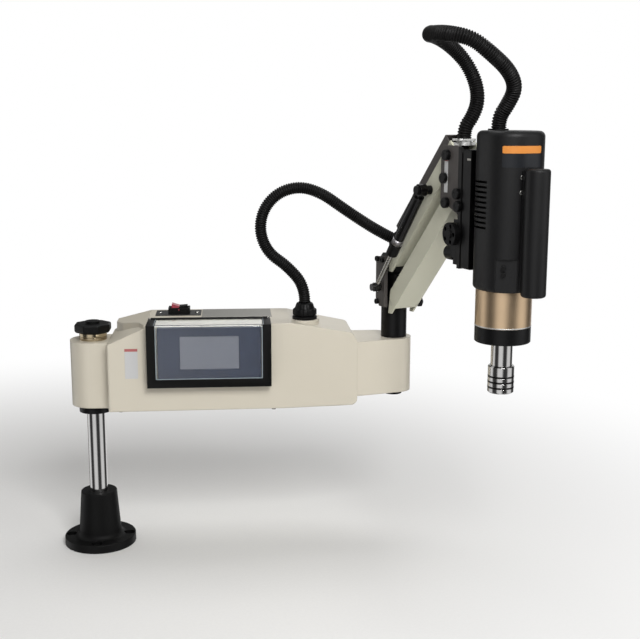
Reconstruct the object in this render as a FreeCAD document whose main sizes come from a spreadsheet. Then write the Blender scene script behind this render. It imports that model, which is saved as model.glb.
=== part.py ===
import FreeCAD, Part
import math
import os
import re
import Sketcher

# Arm tapping machine: clamped column, swinging arm, sprung parallelogram and a
# tilting servo tapping head.  Millimetres, +Z up, +X along the first arm, origin
# at the centre of the base flange's underside.

doc = FreeCAD.newDocument("ArmTappingMachine")
sheet = doc.addObject("Spreadsheet::Sheet", "Sizes")
NODES = []


# ---------------------------------------------------------------- sizes
# Each size has a value of its own here and a cell of its own in the sheet.
EARLIER = list(globals())

# clearances
run_gap = 0.05  # radial, shafts that turn or slide in bores
face_gap = 0.4  # between faces that move past each other
seat_gap = 0.05  # radial, pieces seated in a bore
open_gap = 0.35  # radial, the pivot where the linkage is opened
panel_gap = 0.3  # round covers and inserts

# stand
flange_radius = 59.7
flange_thickness = 14
flange_hole_radius = 5.5
flange_hole_inset = 10.7
flange_sink_radius = 9
flange_sink_depth = 6
cone_foot_radius = 36
cone_top_radius = 30
cone_height = 92.3
cone_flare = 9
column_radius = 15
column_floor = 6
collar_radius = 27
collar_height = 12.5
collar_slit = 2.5
arm_height = 245.4

# column clamp
washer_radius = 22.5
washer_height = 11.5
knob_radius = 31.2
knob_thickness = 15
knob_hub_radius = 12
knob_hub_height = 4
stud_radius = 6
stud_depth = 34
column_recess = 2.7

# first arm
reach = 503
boss_radius = 38
boss_height = 109.3
body_left = 28
body_front = 62
body_back = 74
body_height = 143.6
body_taper_start = 312
body_slope_start = 325
body_slope_mid = 386
body_slope_mid_drop = 12
body_end = 436
body_end_half = 50
body_end_back = 56
body_end_drop = 19.5
body_end_round = 9
body_corner = 7
body_edge = 4
body_rim_left_drop = 16
body_rim_end = 92
ramp_left_drop = 33.2
ramp_right_drop = 4
wall = 4
neck_bottom_rise = 15.6
neck_top_rise = 107.6
neck_radius = 29
neck_front = 49
neck_back = 50
neck_start = 418
bush_wall = 5
bush_length = 22
floor_thickness = 3
post_radius = 6
post_inset = 15
screw_radius = 2
screw_length = 14
screw_head_radius = 3.6
screw_head_height = 2.2

# operator panel and flip-up cover
panel_centre_along = 193.3
panel_centre_height = 343.4
panel_width = 165.7
panel_height = 85
panel_depth = 13.8
glass_width = 95
glass_height = 54
glass_rise = 1.5
glass_pocket = 2
glass_thickness = 1.6
hood_width = 200
hood_height = 102.6
hood_depth = 17.6
hood_front_thickness = 2
hood_side_thickness = 3
hood_border_side = 14
hood_border_bottom = 14
hood_border_top = 3.8
hood_sheet = 1.5
hood_reach_back = 39
window_thickness = 1.4
window_overlap = 2.5
hinge_radius = 1
hinge_wall = 0.9
hinge_ear = 3.5

# switch and name plates
switch_plate_left = 102
switch_plate_width = 76
switch_plate_front = 15
switch_plate_depth = 46.5
plate_thickness = 1.2
switch_left = 123
switch_width = 36
switch_front = 26
switch_depth = 24
switch_rise = 11
switch_sink = 18
rocker_inset = 3
rocker_height = 11
rocker_tilt = 7
rocker_pin_radius = 1.5
name_plate_left = 180
name_plate_width = 116
name_plate_front = -5
name_plate_depth = 71.6

# hose gland
gland_along = 350.6
gland_side = -18
gland_pad_radius = 24
gland_pad_rise = 139.8
gland_pad_height = 3
gland_flange_radius = 20.5
gland_flange_height = 5
gland_nut_radius = 20
gland_nut_height = 12
gland_dome_radius = 12.5
gland_dome_height = 10.4
gland_stem_radius = 11
gland_stem_length = 18
lower_hose_diameter = 19.2

# inside the arm
driver_left = 172
driver_width = 110
driver_front = -48
driver_depth = 45
driver_height = 105
supply_left = 64
supply_width = 100
supply_front = -45
supply_depth = 55
supply_height = 45

# elbow
elbow_turn = -68.5
elbow_shaft_radius = 12
elbow_post_radius = 21.5
elbow_post_height = 49.6
retainer_radius = 15
retainer_height = 7
bracket_back = 20
bracket_front = 9.5
bracket_half = 18.4
bracket_height = 93
bracket_chamfer = 12
bracket_slot_low = 49
bracket_slot_high = 74.5
bracket_ear_high = 81
plate_back = 10
plate_front = 19
plate_low = 4
plate_high = 90
plate_side = 30
plate_wall = 6
plate_foot_front = 2
plate_corner = 12
socket_radius = 13
socket_length = 15
socket_post_radius = 10

# parallelogram
pivot_ahead = 28
beam_pivot_height = 414
pivot_spacing = 70
link_length = 248
lift_angle = 46.5
pin_radius = 4.5
pin_head_radius = 8
pin_head_height = 5.6
pin_ear_radius = 8.1
channel_half = 22
channel_wall = 3
channel_low = 11.6
channel_high = 17.4
channel_heel = 12.3
channel_toe = 18.5
channel_toe_drop = 5.2
channel_top_start = 14
channel_overhang = 12
channel_web_start = 1
duct_start = 49
duct_end = 254
duct_height = 18
duct_half = 19
duct_wall = 2
saddle_along = -0.8
saddle_low = 13.4
saddle_height = 10
saddle_radius = 11.5
saddle_plate_half = 13
saddle_plate_side = 16.5
saddle_plate_thickness = 3
saddle_foot = 6
saddle_foot_height = 5

# gas spring
spring_side = 38
spring_foot_ahead = 6
spring_foot_height = 440
spring_top_along = 169.8
spring_top_rise = 2.6
spring_tube_radius = 9
spring_bore_radius = 6
spring_tube_start = 12
spring_tube_end = 116
spring_bore_start = 20
spring_neck_radius = 5.8
spring_cap_length = 22
spring_cap_radius = 9.6
spring_rod_radius = 4
spring_rod_start = 66
spring_piston_length = 8
spring_eye_radius = 9.5
spring_eye_width = 12
spring_stud_radius = 5
spring_stud_head = 7
spring_stud_head_height = 4
rod_eye_radius = 7.5
rod_eye_width = 10
rod_bolt_radius = 6
rod_bolt_height = 4.5

# head bracket
cheek_back = 17.7
cheek_low = 18
cheek_high = 84
cheek_toe = 4
cheek_wall = 5.6
cheek_round = 14
cheek_round_small = 3
web_back = 30.3
web_wall = 7
web_low = 94
web_high = 64
head_bolt_radius = 8
head_bolt_height = 5
head_bolt_shank = 4
block_depth = 22
block_half = 20
block_low = 91
block_high = 24
block_cheek_wall = 4
block_cheek_low = 79
block_cheek_step = 11
wheel_radius = 17
wheel_width = 10
wheel_ahead = 23
wheel_drop = 44
wheel_side = 28
wheel_hub_radius = 7
wheel_stud_radius = 4
wheel_stud_length = 30
wheel_hole_radius = 3.2
wheel_hole_circle = 12
plunger_side = -10
plunger_drop = 76
plunger_pin_radius = 4
plunger_knob_radius = 11.5
plunger_knob_length = 20
plunger_stroke = 4
swivel_drop = 7
swivel_flange_radius = 22
swivel_flange_thickness = 3.6
swivel_shaft_radius = 12
swivel_nut_radius = 18
swivel_nut_height = 5.6

# tapping motor
motor_ahead = 111.3
back_plate_back = 70
back_plate_wall = 20
back_plate_half = 28
back_plate_low = 93
back_plate_high = 79
back_plate_edge = 3
mount_half = 20
mount_low = 46
mount_high = 46
mount_height = 30
cover_back = 42
cover_front = 50
cover_half = 44
cover_corner = 40
cover_low = 114
cover_high = 107.1
cover_top_round = 8
cover_foot_round = 6
cover_wall = 3
cover_floor = 4
cover_roof = 6
servo_half = 28
servo_height = 150
vent_count = 10
vent_pitch = 7
vent_height = 3
vent_top = 39
vent_back = 24
vent_front = 13
pod_ahead = 67.5
pod_radius = 17.3
pod_low = 116.5
pod_high = 57.5
pod_round = 4
pod_web_half = 12.5
button_angle = -36
button_pocket_floor = 35.5
button_pocket_half = 15
button_pocket_low = 121
button_pocket_high = 67
button_block_back = 30.5
button_offset = -4
start_button_drop = 79
reverse_button_drop = 88
button_radius = 3.3
button_height = 2.6
button_travel = 1.5
button_stem_radius = 2
button_stem_back = 30.5
ring_radius = 40
gold_height = 53
lower_ring_height = 23
ring_bore_radius = 26
hose_collar_back = 26.3
hose_collar_radius = 14.5
hose_collar_height = 2
upper_hose_diameter = 21.5

# spindle and chuck
spindle_radius = 15.5
spindle_top = 165
chuck_top = 225.5
chuck_bottom = 265.5
chuck_bore_radius = 9.5
chuck_bore_depth = 32
sleeve_radius = 19
groove_depth = 1.6
groove_width = 2.6
groove_pitch = 8
groove_first = 7
sleeve_chamfer = 1.5
bore_chamfer = 1

NAMES = [name for name in list(globals()) if name not in EARLIER and name != "EARLIER"]
for row, name in enumerate(NAMES, 1):
    sheet.set("A%d" % row, name)
    sheet.set("B%d" % row, str(globals()[name]))
    sheet.setAlias("B%d" % row, name)
doc.recompute()


# ---------------------------------------------------------------- helpers
def ex(text):
    """Turn size names into references to the sheet."""
    swap = lambda hit: "Sizes." + hit.group(0) if hit.group(0) in NAMES else hit.group(0)
    return re.sub(r"[a-z][a-z_]*[a-z]", swap, str(text))


def size(text):
    """Value of a size expression."""
    value = sheet.evalExpression(ex(text))
    return float(getattr(value, "Value", value))


def bind(obj, prop, text):
    obj.setExpression(prop, ex(text))


def spot(x=0, y=0, z=0, axis="0; 0; 1", angle=0):
    return "placement(vector(%s; %s; %s); rotation(vector(%s); %s))" % (x, y, z, axis, angle)


TURN = {
    "z": ("0; 0; 1", "0"),
    "x": ("0; 1; 0", "90"),
    "y": ("1; 0; 0", "-90"),
    "-x": ("0; 1; 0", "-90"),
    "-y": ("1; 0; 0", "90"),
}


def put(obj, frame, x, y, z, along="z"):
    axis, angle = TURN[along]
    bind(obj, "Placement", frame + " * " + spot(x, y, z, axis, angle))
    return obj


def box(name, frame, x, y, z, dx, dy, dz):
    """Block from a low corner and three lengths."""
    obj = doc.addObject("Part::Box", name)
    bind(obj, "Length", dx)
    bind(obj, "Width", dy)
    bind(obj, "Height", dz)
    return put(obj, frame, x, y, z)


def rod(name, frame, x, y, z, radius, length, along="z"):
    """Cylinder from a point along one of the frame's axes."""
    obj = doc.addObject("Part::Cylinder", name)
    bind(obj, "Radius", radius)
    bind(obj, "Height", length)
    return put(obj, frame, x, y, z, along)


def fuse(name, *shapes):
    obj = doc.addObject("Part::MultiFuse", name)
    obj.Shapes = list(shapes)
    obj.Refine = True
    return obj


def group(name, *shapes):
    """Separate solids that share one node."""
    obj = doc.addObject("Part::Compound", name)
    obj.Links = list(shapes)
    return obj


def cut(name, base, *tools):
    obj = doc.addObject("Part::Cut", name)
    obj.Base = base
    obj.Tool = tools[0] if len(tools) == 1 else fuse(name + "_tools", *tools)
    return obj


def common(name, base, tool):
    obj = doc.addObject("Part::Common", name)
    obj.Base = base
    obj.Tool = tool
    return obj


def plane(body, role):
    return [item for item in body.Origin.OriginFeatures if item.Role == role][0]


def outline(body, role, points):
    """Closed polygon whose corners are bound to size expressions."""
    sketch = body.newObject("Sketcher::SketchObject", body.Name + "_outline")
    sketch.AttachmentSupport = [(plane(body, role), "")]
    sketch.MapMode = "FlatFace"
    spots = [FreeCAD.Vector(size(u), size(v), 0) for u, v in points]
    count = len(spots)
    for i in range(count):
        sketch.addGeometry(Part.LineSegment(spots[i], spots[(i + 1) % count]))
    for i in range(count):
        sketch.addConstraint(Sketcher.Constraint("Coincident", i, 2, (i + 1) % count, 1))
    for i, (u, v) in enumerate(points):
        for kind, text, value in (("DistanceX", u, spots[i].x), ("DistanceY", v, spots[i].y)):
            k = sketch.addConstraint(Sketcher.Constraint(kind, -1, 1, i, 1, value))
            sketch.setExpression("Constraints[%d]" % k, ex(text))
    return sketch


def round_edges(body, base, name, radius, pick):
    """Fillet the edges of a body's last feature that pick() accepts."""
    doc.recompute()
    names = ["Edge%d" % (i + 1) for i, edge in enumerate(base.Shape.Edges) if pick(edge)]
    feature = body.newObject("PartDesign::Fillet", body.Name + "_" + name)
    feature.Base = (base, names)
    bind(feature, "Radius", radius)
    return feature


def upright(u, v):
    """Accept edges along the pad's direction through one corner of the outline."""
    def pick(edge):
        ends = [vertex.Point for vertex in edge.Vertexes]
        at = FreeCAD.Vector(size(u), size(v), 0)
        flat = [FreeCAD.Vector(point.x, point.y, 0) for point in ends]
        return len(ends) == 2 and all(point.distanceToPoint(at) < 0.01 for point in flat)
    return pick


def at_level(level):
    """Accept edges that lie in one plane across the pad's direction."""
    return lambda edge: all(abs(vertex.Point.z - size(level)) < 0.01 for vertex in edge.Vertexes)


VIEW = {
    "top": ("0; 0; 1", "0"),
    "side": ("1; 0; 0", "90"),
    "front": ("1; 1; 1", "120"),
}


def prism(name, frame, view, points, start, depth, corners=(), ends=()):
    """Padded outline.  top: (x, y) up from z=start; side: (x, z) from y=start towards
    -y; front: (y, z) from x=start towards +x.  corners: (corner index, radius);
    ends: (level, radius)."""
    body = doc.addObject("PartDesign::Body", name)
    sketch = outline(body, "XY_Plane", points)
    pad = body.newObject("PartDesign::Pad", name + "_pad")
    pad.Profile = sketch
    bind(pad, "Length", depth)
    last = pad
    for k, (index, radius) in enumerate(corners):
        last = round_edges(body, last, "corner%d" % k, radius, upright(*points[index]))
    for k, (level, radius) in enumerate(ends):
        last = round_edges(body, last, "end%d" % k, radius, at_level(level))
    axis, angle = VIEW[view]
    at = {"top": (0, 0, start), "side": (0, start, 0), "front": (start, 0, 0)}[view]
    bind(body, "Placement", frame + " * " + spot(at[0], at[1], at[2], axis, angle))
    return body


def turned(name, frame, x, y, z, points, along="z", rounds=()):
    """Revolved outline of (radius, height) corners."""
    body = doc.addObject("PartDesign::Body", name)
    sketch = outline(body, "XZ_Plane", points)
    spin = body.newObject("PartDesign::Revolution", name + "_spin")
    spin.Profile = sketch
    spin.ReferenceAxis = (sketch, ["V_Axis"])
    spin.Angle = 360
    last = spin
    for k, (radius_at, level, radius) in enumerate(rounds):
        def pick(edge):
            ring = hasattr(edge.Curve, "Radius") and abs(edge.Curve.Radius - size(radius_at)) < 0.01
            return ring and abs(edge.Curve.Center.z - size(level)) < 0.01
        last = round_edges(body, last, "round%d" % k, radius, pick)
    return put(body, frame, x, y, z, along)


def node(obj, label):
    """Name a finished piece."""
    obj.Label = label
    NODES.append(obj)
    return obj


# ---------------------------------------------------------------- frames
STAND = spot()
ARM = spot(0, 0, "arm_height")
ELBOW = spot("reach", 0, 0, "0; 0; 1", "elbow_turn")
TILT = ("0; 1; 0", "-lift_angle")
BEAM = ELBOW + " * " + spot("pivot_ahead", 0, "beam_pivot_height", *TILT)
LINK = ELBOW + " * " + spot("pivot_ahead", 0, "beam_pivot_height + pivot_spacing", *TILT)
RUN = "link_length * cos(lift_angle)"
RISE = "link_length * sin(lift_angle)"
HEAD = ELBOW + " * " + spot("pivot_ahead + " + RUN, 0, "beam_pivot_height + " + RISE)
MOTOR = HEAD + " * " + spot("motor_ahead")
TOP_AHEAD = "(pivot_ahead + spring_top_along * cos(lift_angle) - spring_top_rise * sin(lift_angle))"
TOP_HEIGHT = ("(beam_pivot_height + pivot_spacing + spring_top_along * sin(lift_angle)"
              " + spring_top_rise * cos(lift_angle))")
SPRING_RUN = "(" + TOP_AHEAD + " - spring_foot_ahead)"
SPRING_RISE = "(" + TOP_HEIGHT + " - spring_foot_height)"
SPRING_LENGTH = "sqrt(%s * %s + %s * %s)" % (SPRING_RUN, SPRING_RUN, SPRING_RISE, SPRING_RISE)
SPRING_ANGLE = "(180 deg - atan(%s / %s))" % (SPRING_RISE, SPRING_RUN)
SPRING = ELBOW + " * " + spot(TOP_AHEAD, "-spring_side", TOP_HEIGHT, "0; 1; 0", SPRING_ANGLE)
BUTTONS = (MOTOR + " * " + spot("cover_front - cover_corner", "cover_corner - cover_half", 0)
           + " * " + spot(0, 0, 0, "0; 0; 1", "button_angle"))


# ---------------------------------------------------------------- stand
BORE = "column_radius + seat_gap"
base_body = turned("BaseBody", STAND, 0, 0, 0, [
    ("0", "0"),
    ("flange_radius", "0"),
    ("flange_radius", "flange_thickness"),
    ("cone_foot_radius", "flange_thickness"),
    ("cone_top_radius", "cone_height"),
    (BORE, "cone_height"),
    (BORE, "column_floor"),
    ("0", "column_floor"),
], rounds=[("cone_foot_radius", "flange_thickness", "cone_flare"),
           ("flange_radius", "flange_thickness", "1.5"),
           ("cone_top_radius", "cone_height", "2")])
HOLE_CIRCLE = "(flange_radius - flange_hole_inset)"
holes = [rod("FlangeHole%d" % k, STAND, HOLE_CIRCLE + " * %d" % cx, HOLE_CIRCLE + " * %d" % cy,
             "-1", "flange_hole_radius", "flange_thickness + 2")
         for k, (cx, cy) in enumerate([(1, 0), (0, 1), (-1, 0), (0, -1)])]
sinks = [rod("FlangeSink%d" % k, STAND, HOLE_CIRCLE + " * %d" % cx, HOLE_CIRCLE + " * %d" % cy,
             "flange_thickness - flange_sink_depth", "flange_sink_radius", "flange_sink_depth + 1")
         for k, (cx, cy) in enumerate([(1, 0), (0, 1), (-1, 0), (0, -1)])]
node(cut("BaseFlange", base_body, *(holes + sinks)), "base_flange")

COLUMN_TOP = "arm_height + boss_height - column_recess"
column = rod("ColumnBar", STAND, 0, 0, "column_floor", "column_radius", COLUMN_TOP + " - column_floor")
tapping = rod("ColumnTapping", STAND, 0, 0, COLUMN_TOP + " - stud_depth - 4",
              "stud_radius + run_gap", "stud_depth + 6")
node(cut("Column", column, tapping), "column")

collar = rod("CollarDisc", STAND, 0, 0, "arm_height - face_gap - collar_height",
             "collar_radius", "collar_height")
collar_bore = rod("CollarBore", STAND, 0, 0, "arm_height - face_gap - collar_height - 1",
                  BORE, "collar_height + 2")
collar_gap = box("CollarSlit", STAND, 0, "-collar_slit / 2", "arm_height - face_gap - collar_height - 1",
                 "collar_radius + 2", "collar_slit", "collar_height + 2")
collar_hole = rod("CollarScrewHole", STAND, "(column_radius + collar_radius) / 2", "-collar_radius",
                  "arm_height - face_gap - collar_height / 2", "screw_radius", "2 * collar_radius", "y")
node(cut("StopCollar", collar, collar_bore, collar_gap, collar_hole), "stop_collar")

KNOB_LOW = "arm_height + boss_height + washer_height + face_gap"
FLAT = [(math.cos(math.radians(22.5 + 45 * k)), math.sin(math.radians(22.5 + 45 * k))) for k in range(8)]
knob_disc = prism("KnobDisc", STAND, "top",
                  [("knob_radius * %.6f" % u, "knob_radius * %.6f" % v) for u, v in FLAT],
                  KNOB_LOW, "knob_thickness",
                  corners=[(k, "3") for k in range(8)],
                  ends=[("0", "5.5"), ("knob_thickness", "3")])
knob_hub = rod("KnobHub", STAND, 0, 0, KNOB_LOW + " + knob_thickness - 2", "knob_hub_radius",
               "knob_hub_height + 2")
knob_bore = rod("KnobBore", STAND, 0, 0, KNOB_LOW + " - 1", "stud_radius + seat_gap", "knob_thickness + 1")
node(cut("LockKnob", fuse("KnobSolid", knob_disc, knob_hub), knob_bore), "lock_knob")
node(rod("KnobStud", STAND, 0, 0, COLUMN_TOP + " - stud_depth", "stud_radius",
         "knob_thickness + stud_depth + column_recess + washer_height + face_gap - 1"), "knob_stud")

# ---------------------------------------------------------------- first arm
SLOPE_MID = "body_height - body_slope_mid_drop"
END_TOP = "body_height - body_end_drop"
side = prism("BodySide", ARM, "side", [
    ("body_left", "0"),
    ("body_end - body_corner", "1.5"),
    ("body_end", "body_corner"),
    ("body_end", "neck_top_rise"),
    ("body_end - 9", END_TOP),
    ("body_slope_mid", SLOPE_MID),
    ("body_slope_start", "body_height"),
    ("body_rim_end", "body_height"),
    ("body_left", "body_height - body_rim_left_drop"),
], "body_back", "body_back + body_front", corners=[(4, "body_end_round"), (2, "8"), (1, "8")])
plan = prism("BodyPlan", ARM, "top", [
    ("body_left", "-body_front"),
    ("body_taper_start", "-body_front"),
    ("body_end", "-body_end_half"),
    ("body_end", "body_end_back"),
    ("body_taper_start", "body_back"),
    ("body_left", "body_back"),
], "-1", "body_height + 2", corners=[(0, "body_edge"), (5, "body_edge")])
shell = common("BodyOuter", side, plan)
ramp_side = prism("RampSide", ARM, "side", [
    ("body_left - 4", "body_height - ramp_left_drop - 1.4"),
    ("body_rim_end", "body_height - ramp_right_drop"),
    ("body_rim_end", "body_height + 4"),
    ("body_left - 4", "body_height + 4"),
], "body_back + 1", "body_back + body_front + 2")
ramp_plan = prism("RampPlan", ARM, "top", [
    ("body_left - 2", "-body_front - 1"),
    ("body_rim_end - 3", "-body_front - 1"),
    ("body_rim_end - 5", "-body_front + 4"),
    ("body_rim_end - 13", "-27"),
    ("body_rim_end - 28", "-3"),
    ("body_rim_end - 45", "17"),
    ("body_rim_end - 57", "42"),
    ("body_rim_end - 57", "body_back + 3"),
    ("body_left - 2", "body_back + 3"),
], "body_height / 2", "body_height")
ramp = common("Ramp", ramp_side, ramp_plan)
CEIL = "body_height - wall - 0.6"
room_side = prism("RoomSide", ARM, "side", [
    ("body_left + wall", "-1"),
    ("neck_start - wall", "-1"),
    ("neck_start - wall", END_TOP + " - wall"),
    ("body_slope_mid", SLOPE_MID + " - wall - 0.6"),
    ("body_slope_start", CEIL),
    ("body_rim_end", CEIL + " - ramp_right_drop"),
    ("body_left + wall", CEIL + " - ramp_left_drop"),
], "body_back - wall", "body_back + body_front - 2 * wall")
NECK_SIDE = "(body_end_half + (body_front - body_end_half) * 0.19)"
room_plan = prism("RoomPlan", ARM, "top", [
    ("body_left + wall", "-body_front + wall"),
    ("body_taper_start - 2", "-body_front + wall"),
    ("neck_start - wall", "-" + NECK_SIDE + " + wall"),
    ("neck_start - wall", NECK_SIDE + " - wall"),
    ("body_taper_start - 2", "body_back - wall"),
    ("body_left + wall", "body_back - wall"),
], "-2", "body_height + 4")
room = common("Room", room_side, room_plan)
hollow = cut("BodyShell", shell, ramp, room)
boss = rod("ColumnBoss", ARM, 0, 0, 0, "boss_radius", "boss_height")
boss_web = box("ColumnBossWeb", ARM, 0, "-boss_radius", 0, "body_left + 1", "2 * boss_radius", "boss_height")
neck = prism("Neck", ARM, "top", [
    ("neck_start - wall", "-neck_front"),
    ("body_end", "-neck_front"),
    ("reach + 8.3", "-neck_radius + 1.3"),
    ("reach + 8.3", "neck_radius - 1.3"),
    ("reach + 14", "neck_radius - 3.8"),
    ("reach - 21", "neck_back"),
    ("neck_start - wall", "neck_back"),
], "neck_bottom_rise", "neck_top_rise - neck_bottom_rise", corners=[(5, "16")])
neck_boss = rod("ElbowBoss", ARM, "reach", 0, "neck_bottom_rise", "neck_radius",
                "neck_top_rise - neck_bottom_rise")
pad = rod("GlandPad", ARM, "gland_along", "gland_side", "gland_pad_rise - 12",
          "gland_pad_radius", "gland_pad_height + 12")
POSTS = [("body_left + wall + post_inset", "-body_front + wall + post_radius - 1"),
         ("body_left + wall + post_inset", "body_back - wall - post_radius + 1"),
         ("body_taper_start - post_inset", "-body_front + wall + post_radius - 1"),
         ("body_taper_start - post_inset", "body_back - wall - post_radius + 1")]
posts = [rod("Post%d" % k, ARM, x, y, "floor_thickness", "post_radius",
             "body_height - ramp_left_drop - floor_thickness - 8") for k, (x, y) in enumerate(POSTS)]
full = fuse("HousingSolid", hollow, boss, boss_web, neck, neck_boss, pad, *posts)
BUSH_OUT = "(column_radius + run_gap + bush_wall)"
ELBOW_OUT = "(elbow_shaft_radius + run_gap + bush_wall)"
SWITCH_HOLE = "panel_gap"
openings = [
    rod("ColumnHole", ARM, 0, 0, "-1", BUSH_OUT, "boss_height + 2"),
    rod("ElbowHole", ARM, "reach", 0, "-1", ELBOW_OUT, "neck_top_rise + 2"),
    rod("GlandHole", ARM, "gland_along", "gland_side", "gland_pad_rise - 30",
        "gland_stem_radius + seat_gap", "60"),
    box("SwitchHole", ARM, "switch_left - panel_gap", "switch_front - panel_gap", "body_height - 12",
        "switch_width + 2 * panel_gap", "switch_depth + 2 * panel_gap", "20"),
] + [rod("PostHole%d" % k, ARM, x, y, "floor_thickness - 1", "screw_radius + seat_gap",
         "screw_length") for k, (x, y) in enumerate(POSTS)]
node(cut("ArmHousing", full, *openings), "arm_housing")

lid_plan = prism("LidPlan", ARM, "top", [
    ("body_left + wall + panel_gap", "-body_front + wall + panel_gap"),
    ("body_taper_start - 2", "-body_front + wall + panel_gap"),
    ("neck_start - wall - panel_gap", "-" + NECK_SIDE + " + wall + panel_gap"),
    ("neck_start - wall - panel_gap", NECK_SIDE + " - wall - panel_gap"),
    ("body_taper_start - 2", "body_back - wall - panel_gap"),
    ("body_left + wall + panel_gap", "body_back - wall - panel_gap"),
], "0", "floor_thickness")
lid_boss = rod("LidBossRelief", ARM, 0, 0, "-1", "boss_radius + panel_gap", "floor_thickness + 2")
lid_holes = [rod("LidHole%d" % k, ARM, x, y, "-1", "screw_radius + seat_gap", "floor_thickness + 2")
             for k, (x, y) in enumerate(POSTS)]
node(cut("BottomCover", lid_plan, lid_boss, *lid_holes), "bottom_cover")
screws = []
for k, (x, y) in enumerate(POSTS):
    head = rod("LidScrewHead%d" % k, ARM, x, y, "-screw_head_height", "screw_head_radius", "screw_head_height")
    shank = rod("LidScrewShank%d" % k, ARM, x, y, "-0.5", "screw_radius", "screw_length")
    screws.append(fuse("LidScrew%d" % k, head, shank))
node(group("CoverScrews", *screws), "cover_screws")

SHAFT_CLEAR = "column_radius + run_gap"


def bush(name, frame, x, z, bore, outer, length):
    ring = rod(name + "Ring", frame, x, 0, z, outer, length)
    hole = rod(name + "Hole", frame, x, 0, z + " - 1", bore, length + " + 2")
    return cut(name, ring, hole)


node(group("ColumnBushes",
           bush("ColumnBushLow", ARM, 0, "0", SHAFT_CLEAR, BUSH_OUT + " - seat_gap", "bush_length"),
           bush("ColumnBushHigh", ARM, 0, "boss_height - bush_length", SHAFT_CLEAR,
                BUSH_OUT + " - seat_gap", "bush_length")), "column_bushes")
ELBOW_CLEAR = "elbow_shaft_radius + run_gap"
node(group("ElbowBushes",
           bush("ElbowBushLow", ARM, "reach", "neck_bottom_rise", ELBOW_CLEAR,
                ELBOW_OUT + " - seat_gap", "bush_length"),
           bush("ElbowBushHigh", ARM, "reach", "neck_top_rise - bush_length", ELBOW_CLEAR,
                ELBOW_OUT + " - seat_gap", "bush_length")), "elbow_bushes")
node(turned("ThrustWasher", ARM, 0, 0, "boss_height", [
    ("stud_radius + face_gap", "0"),
    ("washer_radius", "0"),
    ("washer_radius", "washer_height / 2 - 0.5"),
    ("washer_radius - 1", "washer_height / 2"),
    ("washer_radius", "washer_height / 2 + 0.5"),
    ("washer_radius", "washer_height"),
    ("stud_radius + face_gap", "washer_height"),
]), "thrust_washer")

node(box("ServoDriver", ARM, "driver_left", "driver_front", "floor_thickness",
         "driver_width", "driver_depth", "driver_height"), "servo_driver")
node(box("PowerSupply", ARM, "supply_left", "supply_front", "floor_thickness",
         "supply_width", "supply_depth", "supply_height"), "power_supply")

# ---------------------------------------------------------------- operator panel
PANEL_LEFT = "panel_centre_along - panel_width / 2"
PANEL_LOW = "panel_centre_height - panel_height / 2"
GLASS_LEFT = "panel_centre_along - glass_width / 2"
GLASS_LOW = "panel_centre_height + glass_rise - glass_height / 2"
PANEL_FACE = "-body_front - panel_depth"
panel = box("PanelBox", STAND, PANEL_LEFT, PANEL_FACE, PANEL_LOW, "panel_width", "panel_depth", "panel_height")
pocket = box("PanelPocket", STAND, GLASS_LEFT, PANEL_FACE + " - 1", GLASS_LOW,
             "glass_width", "glass_pocket + 1", "glass_height")
node(cut("OperatorPanel", panel, pocket), "operator_panel")
node(box("DisplayGlass", STAND, GLASS_LEFT + " + panel_gap",
         PANEL_FACE + " + glass_pocket - glass_thickness", GLASS_LOW + " + panel_gap",
         "glass_width - 2 * panel_gap", "glass_thickness", "glass_height - 2 * panel_gap"), "display_glass")

HOOD_LEFT = "panel_centre_along - hood_width / 2 - 0.5"
TOP = "(arm_height + body_height)"
HOOD_TOP = "(" + TOP + " + face_gap + hood_sheet)"
HOOD_LOW = "(" + HOOD_TOP + " - hood_height)"
HOOD_FACE = "-body_front - face_gap - hood_depth"
HINGE_Y = "-body_front + hood_reach_back"
HINGE_Z = "(" + TOP + " + face_gap + hinge_radius + run_gap + hinge_wall)"
HINGE_OUT = "hinge_radius + run_gap + hinge_wall"
hood_block = box("HoodBlock", STAND, HOOD_LEFT, HOOD_FACE, HOOD_LOW, "hood_width", "hood_depth", "hood_height")
hood_inside = box("HoodInside", STAND, HOOD_LEFT + " + hood_side_thickness",
                  HOOD_FACE + " + hood_front_thickness", HOOD_LOW + " + hood_side_thickness",
                  "hood_width - 2 * hood_side_thickness", "hood_depth",
                  "hood_height - hood_side_thickness - hood_sheet")
hood_opening = box("HoodOpening", STAND, HOOD_LEFT + " + hood_border_side", HOOD_FACE + " - 1",
                   HOOD_LOW + " + hood_border_bottom", "hood_width - 2 * hood_border_side", "hood_depth",
                   "hood_height - hood_border_bottom - hood_border_top")
hood_top = box("HoodTop", STAND, HOOD_LEFT, HOOD_FACE, HOOD_TOP + " - hood_sheet",
               "hood_width", HINGE_Y + " + body_front + face_gap + hood_depth - hinge_radius - hinge_wall / 2",
               "hood_sheet")
hinge_tube = rod("HingeTube", STAND, HOOD_LEFT + " + hinge_ear + panel_gap", HINGE_Y, HINGE_Z,
                 HINGE_OUT, "hood_width - 2 * hinge_ear - 2 * panel_gap", "x")
hinge_bore = rod("HingeBore", STAND, HOOD_LEFT, HINGE_Y, HINGE_Z, "hinge_radius + run_gap", "hood_width", "x")
ear_relief_left = box("EarReliefLeft", STAND, HOOD_LEFT + " - 1", HINGE_Y + " - 4", HOOD_TOP + " - hood_sheet - 1",
                      "hinge_ear + panel_gap + 1", "8", "8")
ear_relief_right = box("EarReliefRight", STAND, HOOD_LEFT + " + hood_width - hinge_ear - panel_gap",
                       HINGE_Y + " - 4", HOOD_TOP + " - hood_sheet - 1", "hinge_ear + panel_gap + 1", "8", "8")
hood_shell = cut("HoodShell", hood_block, hood_inside, hood_opening)
node(cut("CoverFrame", fuse("HoodSolid", hood_shell, hood_top, hinge_tube), hinge_bore,
         ear_relief_left, ear_relief_right), "cover_frame")
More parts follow.
